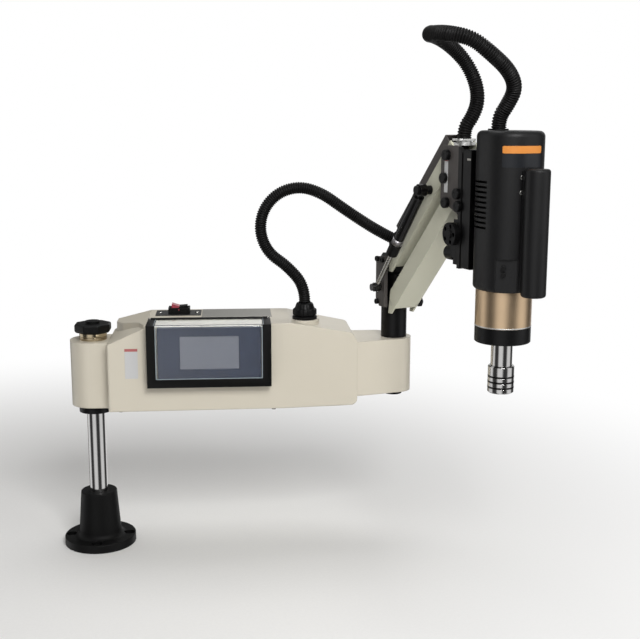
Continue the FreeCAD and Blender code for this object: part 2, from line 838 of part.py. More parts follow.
node(box("CoverWindow", STAND, HOOD_LEFT + " + hood_border_side - window_overlap",
         HOOD_FACE + " + hood_front_thickness",
         HOOD_LOW + " + hood_border_bottom - window_overlap",
         "hood_width - 2 * hood_border_side + 2 * window_overlap", "window_thickness",
         "hood_height - hood_border_bottom + window_overlap - hood_sheet - panel_gap"), "cover_window")
EAR = "2 * hinge_radius + 2"
ears = [box("HingeEar%d" % k, STAND, x, HINGE_Y + " - hinge_radius - 1", TOP, "hinge_ear", EAR,
            "face_gap + 2 * hinge_radius + run_gap + hinge_wall + 0.6")
        for k, x in enumerate([HOOD_LEFT, HOOD_LEFT + " + hood_width - hinge_ear"])]
pin = rod("HingePinBar", STAND, HOOD_LEFT + " + hinge_ear / 2", HINGE_Y, HINGE_Z, "hinge_radius",
          "hood_width - hinge_ear", "x")
node(fuse("HingePin", pin, *ears), "hinge_pin")

# ---------------------------------------------------------------- switch and plates
switch_sheet = box("SwitchSheet", STAND, "switch_plate_left", "switch_plate_front", TOP,
                   "switch_plate_width", "switch_plate_depth", "plate_thickness")
switch_slot = box("SwitchSlot", STAND, "switch_left - panel_gap", "switch_front - panel_gap", TOP + " - 1",
                  "switch_width + 2 * panel_gap", "switch_depth + 2 * panel_gap", "plate_thickness + 2")
node(cut("SwitchPlate", switch_sheet, switch_slot), "switch_plate")
switch_block = box("SwitchBlock", STAND, "switch_left", "switch_front", TOP + " - switch_sink",
                   "switch_width", "switch_depth", "switch_sink + switch_rise")
switch_room = box("SwitchRoom", STAND, "switch_left + rocker_inset", "switch_front + rocker_inset",
                  TOP + " - switch_sink + rocker_inset", "switch_width - 2 * rocker_inset",
                  "switch_depth - 2 * rocker_inset", "switch_sink + switch_rise")
ROCKER_X = "(switch_left + switch_width / 2)"
ROCKER_Z = "(" + TOP + " + switch_rise - 3)"
switch_pin_hole = rod("SwitchPinHole", STAND, ROCKER_X, "switch_front - 1", ROCKER_Z,
                      "rocker_pin_radius + run_gap", "switch_depth + 2", "y")
node(cut("SwitchBody", switch_block, switch_room, switch_pin_hole), "switch_body")
ROCKER = spot(ROCKER_X, 0, ROCKER_Z, "0; 1; 0", "rocker_tilt")
ROCKER_HALF = "(switch_width / 2 - rocker_inset - panel_gap - 1.6)"
rocker_solid = prism("RockerSolid", ROCKER, "side", [
    ("-" + ROCKER_HALF, "1"),
    ("-6", "-5"),
    ("6", "-5"),
    (ROCKER_HALF, "1"),
    (ROCKER_HALF, "rocker_height - 3"),
    ("0", "rocker_height - 5.5"),
    ("-" + ROCKER_HALF, "rocker_height - 3"),
], "switch_front + switch_depth - rocker_inset - panel_gap", "switch_depth - 2 * rocker_inset - 2 * panel_gap")
rocker_pin = rod("RockerPin", ROCKER, 0, "switch_front + 1", 0, "rocker_pin_radius", "switch_depth - 2", "y")
node(fuse("RockerSwitch", rocker_solid, rocker_pin), "rocker_switch")
node(box("NamePlate", STAND, "name_plate_left", "name_plate_front", TOP,
         "name_plate_width", "name_plate_depth", "plate_thickness"), "name_plate")

# ---------------------------------------------------------------- hose gland
GLAND_LOW = "gland_pad_rise + gland_pad_height"
node(turned("GlandBody", ARM, "gland_along", "gland_side", GLAND_LOW, [
    ("lower_hose_diameter / 2 - 2", "-gland_stem_length"),
    ("gland_stem_radius", "-gland_stem_length"),
    ("gland_stem_radius", "0"),
    ("gland_flange_radius", "0"),
    ("gland_flange_radius", "gland_flange_height - 1"),
    ("gland_flange_radius - 1", "gland_flange_height"),
    ("lower_hose_diameter / 2 - 2", "gland_flange_height"),
]), "gland_body")
NUT_TOP = "gland_nut_height + gland_dome_height"
node(turned("GlandNut", ARM, "gland_along", "gland_side", GLAND_LOW + " + gland_flange_height", [
    ("lower_hose_diameter / 2 - 2", "0"),
    ("gland_nut_radius", "0"),
    ("gland_nut_radius", "gland_nut_height"),
    ("gland_nut_radius - 2.5", "gland_nut_height + 2.5"),
    ("gland_dome_radius", NUT_TOP + " - 1"),
    ("gland_dome_radius - 1", NUT_TOP),
    ("lower_hose_diameter / 2 - 2", NUT_TOP),
]), "gland_nut")

# ---------------------------------------------------------------- elbow
NECK_TOP = "(arm_height + neck_top_rise)"
NECK_LOW = "(arm_height + neck_bottom_rise)"
POST_TOP = "(" + NECK_TOP + " + face_gap + elbow_post_height)"
node(turned("ElbowShaft", ELBOW, 0, 0, 0, [
    ("0", NECK_LOW + " - face_gap - retainer_height"),
    ("elbow_shaft_radius", NECK_LOW + " - face_gap - retainer_height"),
    ("elbow_shaft_radius", NECK_TOP + " + face_gap"),
    ("elbow_post_radius", NECK_TOP + " + face_gap"),
    ("elbow_post_radius", POST_TOP),
    ("0", POST_TOP),
]), "elbow_shaft")
retainer = rod("RetainerDisc", ELBOW, 0, 0, NECK_LOW + " - face_gap - retainer_height",
               "retainer_radius", "retainer_height")
retainer_bore = rod("RetainerBore", ELBOW, 0, 0, NECK_LOW + " - face_gap - retainer_height - 1",
                    "elbow_shaft_radius + seat_gap", "retainer_height + 2")
node(cut("ElbowRetainer", retainer, retainer_bore), "elbow_retainer")

EAR_LOW = "beam_pivot_height + pin_ear_radius + face_gap"
UPPER_Z = "beam_pivot_height + pivot_spacing"
block = prism("BracketBlock", ELBOW, "side", [
    ("-bracket_back", POST_TOP),
    ("bracket_front", POST_TOP),
    ("bracket_front", EAR_LOW),
    ("pivot_ahead - pin_ear_radius", EAR_LOW),
    ("pivot_ahead - pin_ear_radius", "beam_pivot_height"),
    ("pivot_ahead + pin_ear_radius", "beam_pivot_height"),
    ("pivot_ahead + pin_ear_radius", "beam_pivot_height + bracket_slot_low"),
    ("bracket_front", "beam_pivot_height + bracket_slot_low"),
    ("bracket_front", "beam_pivot_height + bracket_slot_high"),
    ("pivot_ahead - pin_ear_radius", "beam_pivot_height + bracket_slot_high"),
    ("pivot_ahead - pin_ear_radius", UPPER_Z),
    ("pivot_ahead + pin_ear_radius", UPPER_Z),
    ("pivot_ahead + pin_ear_radius", "beam_pivot_height + bracket_ear_high"),
    ("-bracket_back + bracket_chamfer", "beam_pivot_height + bracket_ear_high"),
    ("-bracket_back", "beam_pivot_height + bracket_ear_high - bracket_chamfer"),
], "bracket_half", "2 * bracket_half")
ear_low = rod("EarLow", ELBOW, "pivot_ahead", "-bracket_half", "beam_pivot_height",
              "pin_ear_radius", "2 * bracket_half", "y")
ear_high = rod("EarHigh", ELBOW, "pivot_ahead", "-bracket_half", UPPER_Z, "pin_ear_radius",
               "2 * bracket_half", "y")
ear_holes = [rod("EarHole%d" % k, ELBOW, "pivot_ahead", "-bracket_half - 1", z, "pin_radius + seat_gap",
                 "2 * bracket_half + 2", "y") for k, z in enumerate(["beam_pivot_height", UPPER_Z])]
node(cut("LowerBracket", fuse("BracketSolid", block, ear_low, ear_high), *ear_holes), "lower_bracket")

PLATE_LOW = "(" + POST_TOP + " + plate_low)"
PLATE_HIGH = "(" + POST_TOP + " + plate_high)"
plate_outer = prism("AnchorOuter", ELBOW, "side", [
    ("-plate_back + plate_corner", PLATE_LOW),
    ("plate_front", PLATE_LOW),
    ("plate_front", PLATE_HIGH),
    ("-plate_back", PLATE_HIGH + " - 4"),
    ("-plate_back", PLATE_LOW + " + plate_corner"),
], "-plate_side + plate_wall", "plate_wall")
plate_foot = box("AnchorFoot", ELBOW, "-plate_back", "-plate_side + plate_wall - 0.5",
                 PLATE_LOW + " + plate_corner", "plate_back + plate_foot_front",
                 "plate_side - plate_wall - bracket_half + 0.5", "plate_high - plate_low - plate_corner - 14")
node(fuse("AnchorPlate", plate_outer, plate_foot), "anchor_plate")


def pivot_pin(name, frame, x, z, low, high, heads):
    """Pin across the arm from y=low to y=high with heads at the given sides."""
    parts = [rod(name + "Shank", frame, x, low, z, "pin_radius", "%s - (%s)" % (high, low), "y")]
    for k, (face, along) in enumerate(heads):
        parts.append(rod(name + "Head%d" % k, frame, x, face, z, "pin_head_radius", "pin_head_height", along))
    return fuse(name, *parts)


HEAD_SIDE = "channel_half + face_gap"
node(group("LowerPins",
           pivot_pin("LowerPinBeam", ELBOW, "pivot_ahead", "beam_pivot_height", "-channel_half",
                     "channel_half + 1", [(HEAD_SIDE, "y")]),
           pivot_pin("LowerPinLink", ELBOW, "pivot_ahead", UPPER_Z, "-channel_half",
                     "channel_half + 1", [(HEAD_SIDE, "y")])), "lower_pivot_pins")

# Route of the lower hose, from the gland's top to the elbow's socket.
LOWER_ROUTE = [
    (350.6, -18.0, 415.6),
    (350.6, -18.0, 442.5),
    (322.0, -21.0, 476.5),
    (290.4, -24.2, 499.0),
    (276.2, -25.8, 534.3),
    (282.8, -25.1, 570.8),
    (308.1, -22.4, 597.9),
    (343.9, -18.6, 606.8),
    (379.0, -15.2, 595.3),
    (408.4, -11.5, 574.5),
    (437.6, -9.1, 554.5),
    (474.5, -4.9, 531.1),
    (499.2, -2.3, 518.7),
]
# Route of the upper hose in two lengths, from the link's saddle to the crown of the
# loop, and from there to the collar on the motor.
UPPER_ROUTE_REAR = [
    (575.9, -184.3, 687.4),
    (575.9, -184.3, 702.8),
    (586.8, -183.8, 718.0),
    (595.4, -180.0, 738.0),
    (595.3, -174.3, 761.0),
    (586.4, -168.7, 786.1),
    (570.5, -167.2, 808.3),
    (546.5, -177.8, 825.9),
    (524.1, -200.6, 833.6),
    (510.6, -231.7, 832.3),
    (511.25, -248.3, 832.5),
]
UPPER_ROUTE_FRONT = [
    (511.25, -248.3, 832.5),
    (511.9, -264.9, 832.7),
    (527.9, -293.1, 830.6),
    (556.1, -307.5, 823.7),
    (581.0, -307.5, 805.5),
    (611.0, -296.4, 782.4),
    (624.9, -284.0, 758.6),
    (616.5, -272.2, 735.0),
    (607.3, -265.2, 718.9),
    (607.3, -265.2, 703.1),
]
ARC_SHARE = 0.45


def hose(name, route, diameter):
    """Round tube along straight runs joined by tangent arcs."""
    points = [FreeCAD.Vector(*point) for point in route]
    edges = []
    radii = []
    start = points[0]
    for before, corner, after in zip(points, points[1:], points[2:]):
        to = (corner - before).normalize()
        on = (after - corner).normalize()
        half = to.getAngle(on) / 2
        run = min((corner - before).Length, (after - corner).Length)
        reach_in = ARC_SHARE * run
        radii.append(reach_in / math.tan(half))
        enter = corner - to * reach_in
        leave = corner + on * reach_in
        inward = (on - to).normalize()
        middle = corner + inward * (radii[-1] / math.cos(half) - radii[-1])
        edges.append(Part.LineSegment(start, enter).toShape())
        edges.append(Part.Arc(enter, middle, leave).toShape())
        start = leave
    edges.append(Part.LineSegment(start, points[-1]).toShape())
    path = Part.Wire(edges)
    first = (points[1] - points[0]).normalize()
    circle = Part.Wire([Part.Circle(points[0], first, diameter / 2).toShape()])
    tube = path.makePipeShell([circle], True, False)
    solid = tube if tube.ShapeType == "Solid" else Part.Solid(tube)
    print(name, "radii", [round(value) for value in radii], "length", round(path.Length, 1),
          "volume ratio", round(solid.Volume / (math.pi * diameter ** 2 / 4 * path.Length), 4))
    obj = doc.addObject("Part::Feature", name)
    obj.Shape = solid
    obj.Placement = FreeCAD.Placement()
    return obj


node(hose("LowerHose", LOWER_ROUTE, size("lower_hose_diameter")), "lower_hose")
node(hose("UpperHoseRear", UPPER_ROUTE_REAR, size("upper_hose_diameter")), "upper_hose_rear")
node(hose("UpperHoseFront", UPPER_ROUTE_FRONT, size("upper_hose_diameter")), "upper_hose_front")

# Socket on the bracket's top, square to the end of the lower hose.
hose_end = FreeCAD.Vector(*LOWER_ROUTE[-1])
hose_run = (hose_end - FreeCAD.Vector(*LOWER_ROUTE[-2])).normalize()
socket_turn = math.degrees(math.atan2(hose_run.y, hose_run.x))
socket_fall = math.degrees(math.acos(hose_run.z))
SOCKET = (spot(*hose_end, "0; 0; 1", "%.5f" % socket_turn) + " * "
          + spot(0, 0, 0, "0; 1; 0", "%.5f" % socket_fall) + " * " + spot(0, 0, "seat_gap", "0; 0; 1", "0"))
socket_bell = doc.addObject("Part::Cylinder", "SocketBell")
bind(socket_bell, "Radius", "socket_radius")
bind(socket_bell, "Height", "socket_length")
bind(socket_bell, "Placement", SOCKET)
BRACKET_TOP = "(beam_pivot_height + bracket_ear_high)"
socket_post = rod("SocketPost", STAND, "507", "-1.5", BRACKET_TOP, "socket_post_radius",
                  "514 - " + BRACKET_TOP)
node(fuse("HoseSocket", socket_bell, socket_post), "hose_socket")


# ---------------------------------------------------------------- parallelogram
def channel(name, frame, far_radius):
    """Folded channel, open at the top, on a pivot line from x=0 to x=link_length."""
    far = "link_length + channel_overhang"
    rim = [("-channel_heel", "-channel_low"), (far, "-channel_low"), (far, "channel_high"),
           ("channel_top_start", "channel_high"), ("-channel_toe", "-channel_toe_drop")]
    outer = prism(name + "Outer", frame, "side", rim, "channel_half", "2 * channel_half")
    inner = box(name + "Inner", frame, "-channel_toe - 2", "-channel_half + channel_wall",
                "-channel_low + channel_wall", "link_length + channel_overhang + channel_toe + 4",
                "2 * channel_half - 2 * channel_wall", "channel_low + channel_high")
    web_relief = box(name + "WebRelief", frame, "-channel_toe - 2", "-channel_half + channel_wall",
                     "-channel_low - 1", "channel_toe + 2 + channel_web_start",
                     "2 * channel_half - 2 * channel_wall", "channel_low")
    near_hole = rod(name + "NearHole", frame, 0, "-channel_half - 1", 0, "pin_radius + run_gap",
                    "2 * channel_half + 2", "y")
    far_hole = rod(name + "FarHole", frame, "link_length", "-channel_half - 1", 0, far_radius,
                   "2 * channel_half + 2", "y")
    return cut(name, outer, inner, web_relief, near_hole, far_hole)


node(channel("MainBeam", BEAM, "pin_radius + open_gap"), "main_beam")
node(channel("UpperLink", LINK, "pin_radius + run_gap"), "upper_link")
duct_outer = box("DuctOuter", LINK, "duct_start", "-duct_half", "channel_high",
                 "duct_end - duct_start", "2 * duct_half", "duct_height")
duct_inner = box("DuctInner", LINK, "duct_start - 1", "-duct_half + duct_wall", "channel_high - 1",
                 "duct_end - duct_start + 2", "2 * duct_half - 2 * duct_wall", "duct_height - duct_wall + 1")
duct_flange_left = box("DuctFlangeLeft", LINK, "duct_start", "-channel_half", "channel_high",
                       "duct_end - duct_start", "channel_half - duct_half + 0.5", "duct_wall")
duct_flange_right = box("DuctFlangeRight", LINK, "duct_start", "duct_half - 0.5", "channel_high",
                        "duct_end - duct_start", "channel_half - duct_half + 0.5", "duct_wall")
node(fuse("CableDuct", cut("DuctShell", duct_outer, duct_inner), duct_flange_left, duct_flange_right),
     "cable_duct")

SADDLE = HEAD + " * " + spot("saddle_along", 0, "pivot_spacing + saddle_low")
saddle_ring = rod("SaddleRing", SADDLE, 0, 0, 0, "saddle_radius", "saddle_height")
saddle_feet = box("SaddleFeet", SADDLE, "-saddle_foot / 2", "-channel_half + channel_wall", 0,
                  "saddle_foot", "2 * channel_half - 2 * channel_wall", "saddle_foot_height")
saddle_plate = prism("SaddlePlate", SADDLE, "top", [
    ("-saddle_plate_half", "-saddle_plate_side"), ("saddle_plate_half", "-saddle_plate_side"),
    ("saddle_plate_half", "saddle_plate_side"), ("-saddle_plate_half", "saddle_plate_side"),
], "saddle_height - saddle_plate_thickness", "saddle_plate_thickness", corners=[(k, "9") for k in range(4)])
node(fuse("HoseSaddle", saddle_ring, saddle_feet, saddle_plate), "hose_saddle")

stud_shank = rod("StudShank", LINK, "spring_top_along", "-channel_half", "spring_top_rise",
                 "spring_stud_radius", "spring_side + spring_eye_width / 2 - channel_half + face_gap", "-y")
stud_head = rod("StudHead", LINK, "spring_top_along", "-spring_side - spring_eye_width / 2 - face_gap",
                "spring_top_rise", "spring_stud_head", "spring_stud_head_height", "-y")
stud_collar = rod("StudCollar", LINK, "spring_top_along", "-channel_half", "spring_top_rise",
                  "spring_stud_head", "spring_side - spring_eye_width / 2 - channel_half - face_gap", "-y")
node(fuse("SpringStud", stud_shank, stud_head, stud_collar), "spring_stud")

# ---------------------------------------------------------------- gas spring
tube_eye = rod("TubeEye", SPRING, 0, "-spring_eye_width / 2", 0, "spring_eye_radius", "spring_eye_width", "y")
tube_neck = rod("TubeNeck", SPRING, "spring_stud_radius + 1", 0, 0, "spring_neck_radius",
                "spring_tube_start - spring_stud_radius", "x")
tube_body = rod("TubeBody", SPRING, "spring_tube_start", 0, 0, "spring_tube_radius",
                "spring_tube_end - spring_tube_start", "x")
tube_bore = rod("TubeBore", SPRING, "spring_bore_start", 0, 0, "spring_bore_radius",
                "spring_tube_end - spring_bore_start + 1", "x")
eye_bore = rod("TubeEyeBore", SPRING, 0, "-spring_eye_width", 0, "spring_stud_radius + run_gap",
               "2 * spring_eye_width", "y")
node(cut("SpringTube", fuse("TubeSolid", tube_eye, tube_neck, tube_body), tube_bore, eye_bore), "spring_tube")
cap_disc = rod("CapDisc", SPRING, "spring_tube_end", 0, 0, "spring_cap_radius", "spring_cap_length", "x")
cap_bore = rod("CapBore", SPRING, "spring_tube_end - 1", 0, 0, "spring_rod_radius + run_gap",
               "spring_cap_length + 2", "x")
node(cut("SpringCap", cap_disc, cap_bore), "spring_cap")
rod_bar = rod("RodBar", SPRING, "spring_rod_start", 0, 0, "spring_rod_radius",
              SPRING_LENGTH + " - spring_rod_start", "x")
piston = rod("RodPiston", SPRING, "spring_rod_start", 0, 0, "spring_bore_radius - run_gap",
             "spring_piston_length", "x")
rod_eye = rod("RodEye", SPRING, SPRING_LENGTH, "-rod_eye_width / 2", 0, "rod_eye_radius", "rod_eye_width", "y")
rod_stud = rod("RodStud", SPRING, SPRING_LENGTH, 0, 0, "spring_rod_radius",
               "spring_side - plate_side - face_gap", "y")
rod_bolt = rod("RodBolt", SPRING, SPRING_LENGTH, "-rod_eye_width / 2", 0, "rod_bolt_radius",
               "rod_bolt_height", "-y")
node(fuse("SpringRod", rod_bar, piston, rod_eye, rod_stud, rod_bolt), "spring_rod")

# ---------------------------------------------------------------- head bracket
CHEEK_IN = "channel_half + face_gap"
CHEEK_OUT = "(channel_half + face_gap + cheek_wall)"
cheek_rim = [("-cheek_back", "cheek_high"), ("-cheek_back", "cheek_toe"),
             ("web_back + web_wall", "-cheek_low"), ("web_back + web_wall", "cheek_high")]
cheeks = [prism("Cheek%d" % k, HEAD, "side", cheek_rim, start, "cheek_wall",
                corners=[(3, "cheek_round"), (0, "cheek_round_small"), (1, "cheek_round_small")])
          for k, start in enumerate([CHEEK_OUT, "-channel_half - face_gap"])]
web = box("HeadWeb", HEAD, "web_back", "-" + CHEEK_OUT, "-web_low", "web_wall",
          "2 * " + CHEEK_OUT, "web_low + web_high")
PIN_HOLES = [rod("HeadPinHole%d" % k, HEAD, 0, "-40", z, "pin_radius + seat_gap", "80", "y")
             for k, z in enumerate(["0", "pivot_spacing"])]
plunger_hole = rod("WebPlungerHole", HEAD, "web_back - 1", "plunger_side", "-plunger_drop",
                   "plunger_pin_radius + run_gap", "web_wall + 2", "x")
BOLTS = [(-6.7, 36), (29.3, 15), (32.9, -3)]
bolt_holes = [rod("BoltHole%d" % k, HEAD, x, "-40", z, "head_bolt_shank + seat_gap",
                  "40 - " + CHEEK_OUT + " + cheek_wall - 1", "y") for k, (x, z) in enumerate(BOLTS)]
node(cut("HeadBracket", fuse("HeadSolid", cheeks[0], cheeks[1], web), plunger_hole,
         *(PIN_HOLES + bolt_holes)), "head_bracket")
bolts = []
for k, (x, z) in enumerate(BOLTS):
    head = rod("BoltHead%d" % k, HEAD, x, "-" + CHEEK_OUT, z, "head_bolt_radius", "head_bolt_height", "-y")
    shank = rod("BoltShank%d" % k, HEAD, x, "-" + CHEEK_OUT + " + cheek_wall - 1.2", z, "head_bolt_shank",
                "cheek_wall", "-y")
    bolts.append(fuse("HeadBolt%d" % k, head, shank))
node(group("HeadBolts", *bolts), "head_bolts")
node(group("UpperPins",
           pivot_pin("UpperPinBeam", HEAD, 0, "0", "-" + CHEEK_OUT + " - 1", CHEEK_OUT + " + 1",
                     [("-" + CHEEK_OUT, "-y"), (CHEEK_OUT, "y")]),
           pivot_pin("UpperPinLink", HEAD, 0, "pivot_spacing", "-" + CHEEK_OUT + " - 1", CHEEK_OUT + " + 1",
                     [("-" + CHEEK_OUT, "-y"), (CHEEK_OUT, "y")])), "upper_pivot_pins")

clamp_solid = box("ClampSolid", HEAD, "web_back - block_depth", "-block_half", "-block_low",
                  "block_depth", "2 * block_half", "block_low - block_high")
clamp_plunger_hole = rod("ClampPlungerHole", HEAD, "web_back - block_depth - 1", "plunger_side",
                         "-plunger_drop", "plunger_pin_radius + run_gap", "block_depth + 2", "x")
CHEEK_FACE = "(block_half + block_cheek_wall)"
clamp_wheel_hole = rod("ClampWheelHole", HEAD, "wheel_ahead", "-" + CHEEK_FACE + " - 1", "-wheel_drop",
                       "wheel_stud_radius + run_gap",
                       "wheel_stud_length - wheel_side + " + CHEEK_FACE + " + 3", "y")
clamp_cheek = prism("ClampCheek", HEAD, "side", [
    ("web_back - block_depth - 2", "-block_high - 5"),
    ("web_back - block_depth - 2", "-block_cheek_low"),
    ("web_back - block_depth - 2 + block_cheek_step", "-block_cheek_low - 3"),
    ("web_back - block_depth + block_cheek_step", "-block_cheek_low - 8"),
    ("web_back", "-web_low"),
    ("web_back", "-block_high - 5"),
], "-block_half", "block_cheek_wall")
node(cut("ClampBlock", fuse("ClampAll", clamp_solid, clamp_cheek), clamp_plunger_hole, clamp_wheel_hole),
     "clamp_block")

wheel_disc = rod("WheelDisc", HEAD, "wheel_ahead", "-wheel_side", "-wheel_drop", "wheel_radius",
                 "wheel_width", "-y")
wheel_hub = rod("WheelHub", HEAD, "wheel_ahead", "-wheel_side - wheel_width - 2", "-wheel_drop",
                "wheel_hub_radius", "wheel_side + wheel_width + 2 - " + CHEEK_FACE + " - face_gap", "y")
wheel_stud = rod("WheelStud", HEAD, "wheel_ahead", "-wheel_side", "-wheel_drop", "wheel_stud_radius",
                 "wheel_stud_length", "y")
wheel_holes = [rod("WheelHole%d" % k, HEAD,
                   "wheel_ahead + wheel_hole_circle * %.6f" % math.cos(math.radians(72 * k)),
                   "-wheel_side + 1",
                   "-wheel_drop + wheel_hole_circle * %.6f" % math.sin(math.radians(72 * k)),
                   "wheel_hole_radius", "wheel_width + 2", "-y") for k in range(5)]
node(cut("ClampWheel", fuse("WheelSolid", wheel_disc, wheel_hub, wheel_stud), *wheel_holes), "clamp_wheel")

PLUNGER_KNOB = "web_back - block_depth - plunger_stroke - face_gap"
plunger_knob = rod("PlungerKnobDisc", HEAD, PLUNGER_KNOB, "plunger_side", "-plunger_drop",
                   "plunger_knob_radius", "plunger_knob_length", "-x")
plunger_bar = rod("PlungerBar", HEAD, PLUNGER_KNOB + " - 1", "plunger_side", "-plunger_drop",
                  "plunger_pin_radius",
                  "block_depth + plunger_stroke + face_gap + 1 + web_wall + swivel_flange_thickness", "x")
node(fuse("IndexPlunger", plunger_knob, plunger_bar), "index_plunger")

WEB_FACE = "(web_back + web_wall)"
SHAFT_END = WEB_FACE + " + swivel_flange_thickness + 2 * face_gap + back_plate_wall + swivel_nut_height"
swivel_flange = rod("SwivelFlange", HEAD, WEB_FACE, 0, "-swivel_drop", "swivel_flange_radius",
                    "swivel_flange_thickness", "x")
swivel_bar = rod("SwivelBar", HEAD, WEB_FACE, 0, "-swivel_drop", "swivel_shaft_radius",
                 "swivel_flange_thickness + 2 * face_gap + back_plate_wall + swivel_nut_height", "x")
node(fuse("SwivelShaft", swivel_flange, swivel_bar), "swivel_shaft")
nut = rod("SwivelNutDisc", HEAD, SHAFT_END, 0, "-swivel_drop", "swivel_nut_radius", "swivel_nut_height", "-x")
nut_bore = rod("SwivelNutBore", HEAD, SHAFT_END + " + 1", 0, "-swivel_drop",
               "swivel_shaft_radius + seat_gap", "swivel_nut_height + 2", "-x")
node(cut("SwivelNut", nut, nut_bore), "swivel_nut")

# ---------------------------------------------------------------- tapping motor
cover_rim = [("-cover_back", "-cover_half"), ("cover_front", "-cover_half"),
             ("cover_front", "cover_half"), ("-cover_back", "cover_half")]
cover_outer = prism("CoverOuter", MOTOR, "top", cover_rim, "-cover_low", "cover_low + cover_high",
                    corners=[(k, "cover_corner") for k in range(4)],
                    ends=[("cover_low + cover_high", "cover_top_round"), ("0", "cover_foot_round")])
inner_rim = [("-cover_back + cover_wall", "-cover_half + cover_wall"),
             ("cover_front - cover_wall", "-cover_half + cover_wall"),
             ("cover_front - cover_wall", "cover_half - cover_wall"),
             ("-cover_back + cover_wall", "cover_half - cover_wall")]
cover_inner = prism("CoverInner", MOTOR, "top", inner_rim, "-cover_low + cover_floor",
                    "cover_low + cover_high - cover_floor - cover_roof",
                    corners=[(k, "cover_corner - cover_wall") for k in range(4)])
button_block = common("ButtonBlock", cover_outer, box(
    "ButtonBlockBox", BUTTONS, "button_block_back", "-button_pocket_half - 3", "-cover_low",
    "cover_corner - button_block_back", "2 * button_pocket_half + 6", "cover_low - button_pocket_high + 3"))
cover_shell = fuse("CoverShell", cut("CoverHollow", cover_outer, cover_inner), button_block)
button_pocket = box("ButtonPocket", BUTTONS, "button_pocket_floor", "-button_pocket_half",
                    "-button_pocket_low", "20", "2 * button_pocket_half",
                    "button_pocket_low - button_pocket_high")
button_holes = [rod("ButtonHole%d" % k, BUTTONS, "button_block_back - 4", "button_offset", z,
                    "button_stem_radius + run_gap", "30", "x")
                for k, z in enumerate(["-start_button_drop", "-reverse_button_drop"])]
vents = []
for k in range(int(size("vent_count"))):
    z = "vent_top - vent_height - vent_pitch * %d" % k
    vents.append(box("Vent%d" % k, MOTOR, "-vent_back", "-cover_half - 1", z,
                     "vent_back + vent_front", "cover_wall + 7", "vent_height"))
node(cut("MotorCover", cover_shell, button_pocket, *(button_holes + vents)), "motor_cover")

plate_block = prism("BackPlateBlock", MOTOR, "front", [
    ("-back_plate_half", "-back_plate_low"),
    ("back_plate_half", "-back_plate_low"),
    ("back_plate_half", "back_plate_high"),
    ("-back_plate_half", "back_plate_high"),
], "-back_plate_back", "back_plate_wall", corners=[(k, "back_plate_edge") for k in range(4)])
MOUNT_X = "-back_plate_back + back_plate_wall - 1"
lugs = [box("Mount%d" % k, MOTOR, MOUNT_X, "-mount_half", z, "back_plate_back - back_plate_wall + 1 - 20",
            "2 * mount_half", "mount_height")
        for k, z in enumerate(["-mount_low - mount_height", "mount_high"])]
swivel_bore = rod("SwivelBore", MOTOR, "-back_plate_back - 1", 0, "-swivel_drop",
                  "swivel_shaft_radius + run_gap", "back_plate_wall + 2", "x")
index_hole = rod("IndexHole", MOTOR, "-back_plate_back - 1", "plunger_side", "-plunger_drop",
                 "plunger_pin_radius + run_gap", "plunger_stroke + 3", "x")
node(cut("BackPlate", fuse("BackPlateSolid", plate_block, *lugs), cover_outer, swivel_bore, index_hole),
     "back_plate")

node(box("ServoMotor", MOTOR, "-servo_half", "-servo_half", "-cover_low + cover_floor",
         "2 * servo_half", "2 * servo_half", "servo_height"), "servo_motor")
pod_solid = turned("PodSolid", MOTOR, "pod_ahead", 0, 0, [
    ("0", "-pod_low"),
    ("pod_radius", "-pod_low"),
    ("pod_radius", "pod_high"),
    ("0", "pod_high"),
], rounds=[("pod_radius", "pod_high", "pod_round"), ("pod_radius", "-pod_low", "pod_round")])
pod_web = box("PodWeb", MOTOR, "cover_front - 10", "-pod_web_half", "-cover_low + 4",
              "pod_ahead - cover_front + 10", "2 * pod_web_half", "cover_low + pod_high - 8")
node(cut("HandlePod", fuse("PodAll", pod_solid, pod_web), cover_outer), "handle_pod")

for label, drop in (("start_button", "start_button_drop"), ("reverse_button", "reverse_button_drop")):
    cap = rod(label + "Cap", BUTTONS, "button_pocket_floor + face_gap + button_travel", "button_offset",
              "-" + drop, "button_radius", "button_height", "x")
    stem = rod(label + "Stem", BUTTONS, "button_stem_back", "button_offset", "-" + drop,
               "button_stem_radius", "button_pocket_floor + face_gap + button_travel - button_stem_back + 1",
               "x")
    node(fuse(label + "Solid", cap, stem), label)

GOLD_LOW = "(cover_low + gold_height)"
LOWER_LOW = "(cover_low + gold_height + lower_ring_height)"
node(turned("GearboxRing", MOTOR, 0, 0, 0, [
    ("ring_bore_radius", "-" + GOLD_LOW),
    ("ring_radius", "-" + GOLD_LOW),
    ("ring_radius", "-cover_low"),
    ("ring_bore_radius", "-cover_low"),
]), "gearbox_ring")
node(turned("LowerRing", MOTOR, 0, 0, 0, [
    ("spindle_radius + run_gap", "-" + LOWER_LOW),
    ("ring_radius - 1", "-" + LOWER_LOW),
    ("ring_radius", "-" + LOWER_LOW + " + 1"),
    ("ring_radius", "-" + GOLD_LOW),
    ("spindle_radius + run_gap", "-" + GOLD_LOW),
]), "lower_ring")
node(rod("HoseCollar", MOTOR, "-hose_collar_back", 0, "cover_high", "hose_collar_radius",
         "hose_collar_height"), "hose_collar")

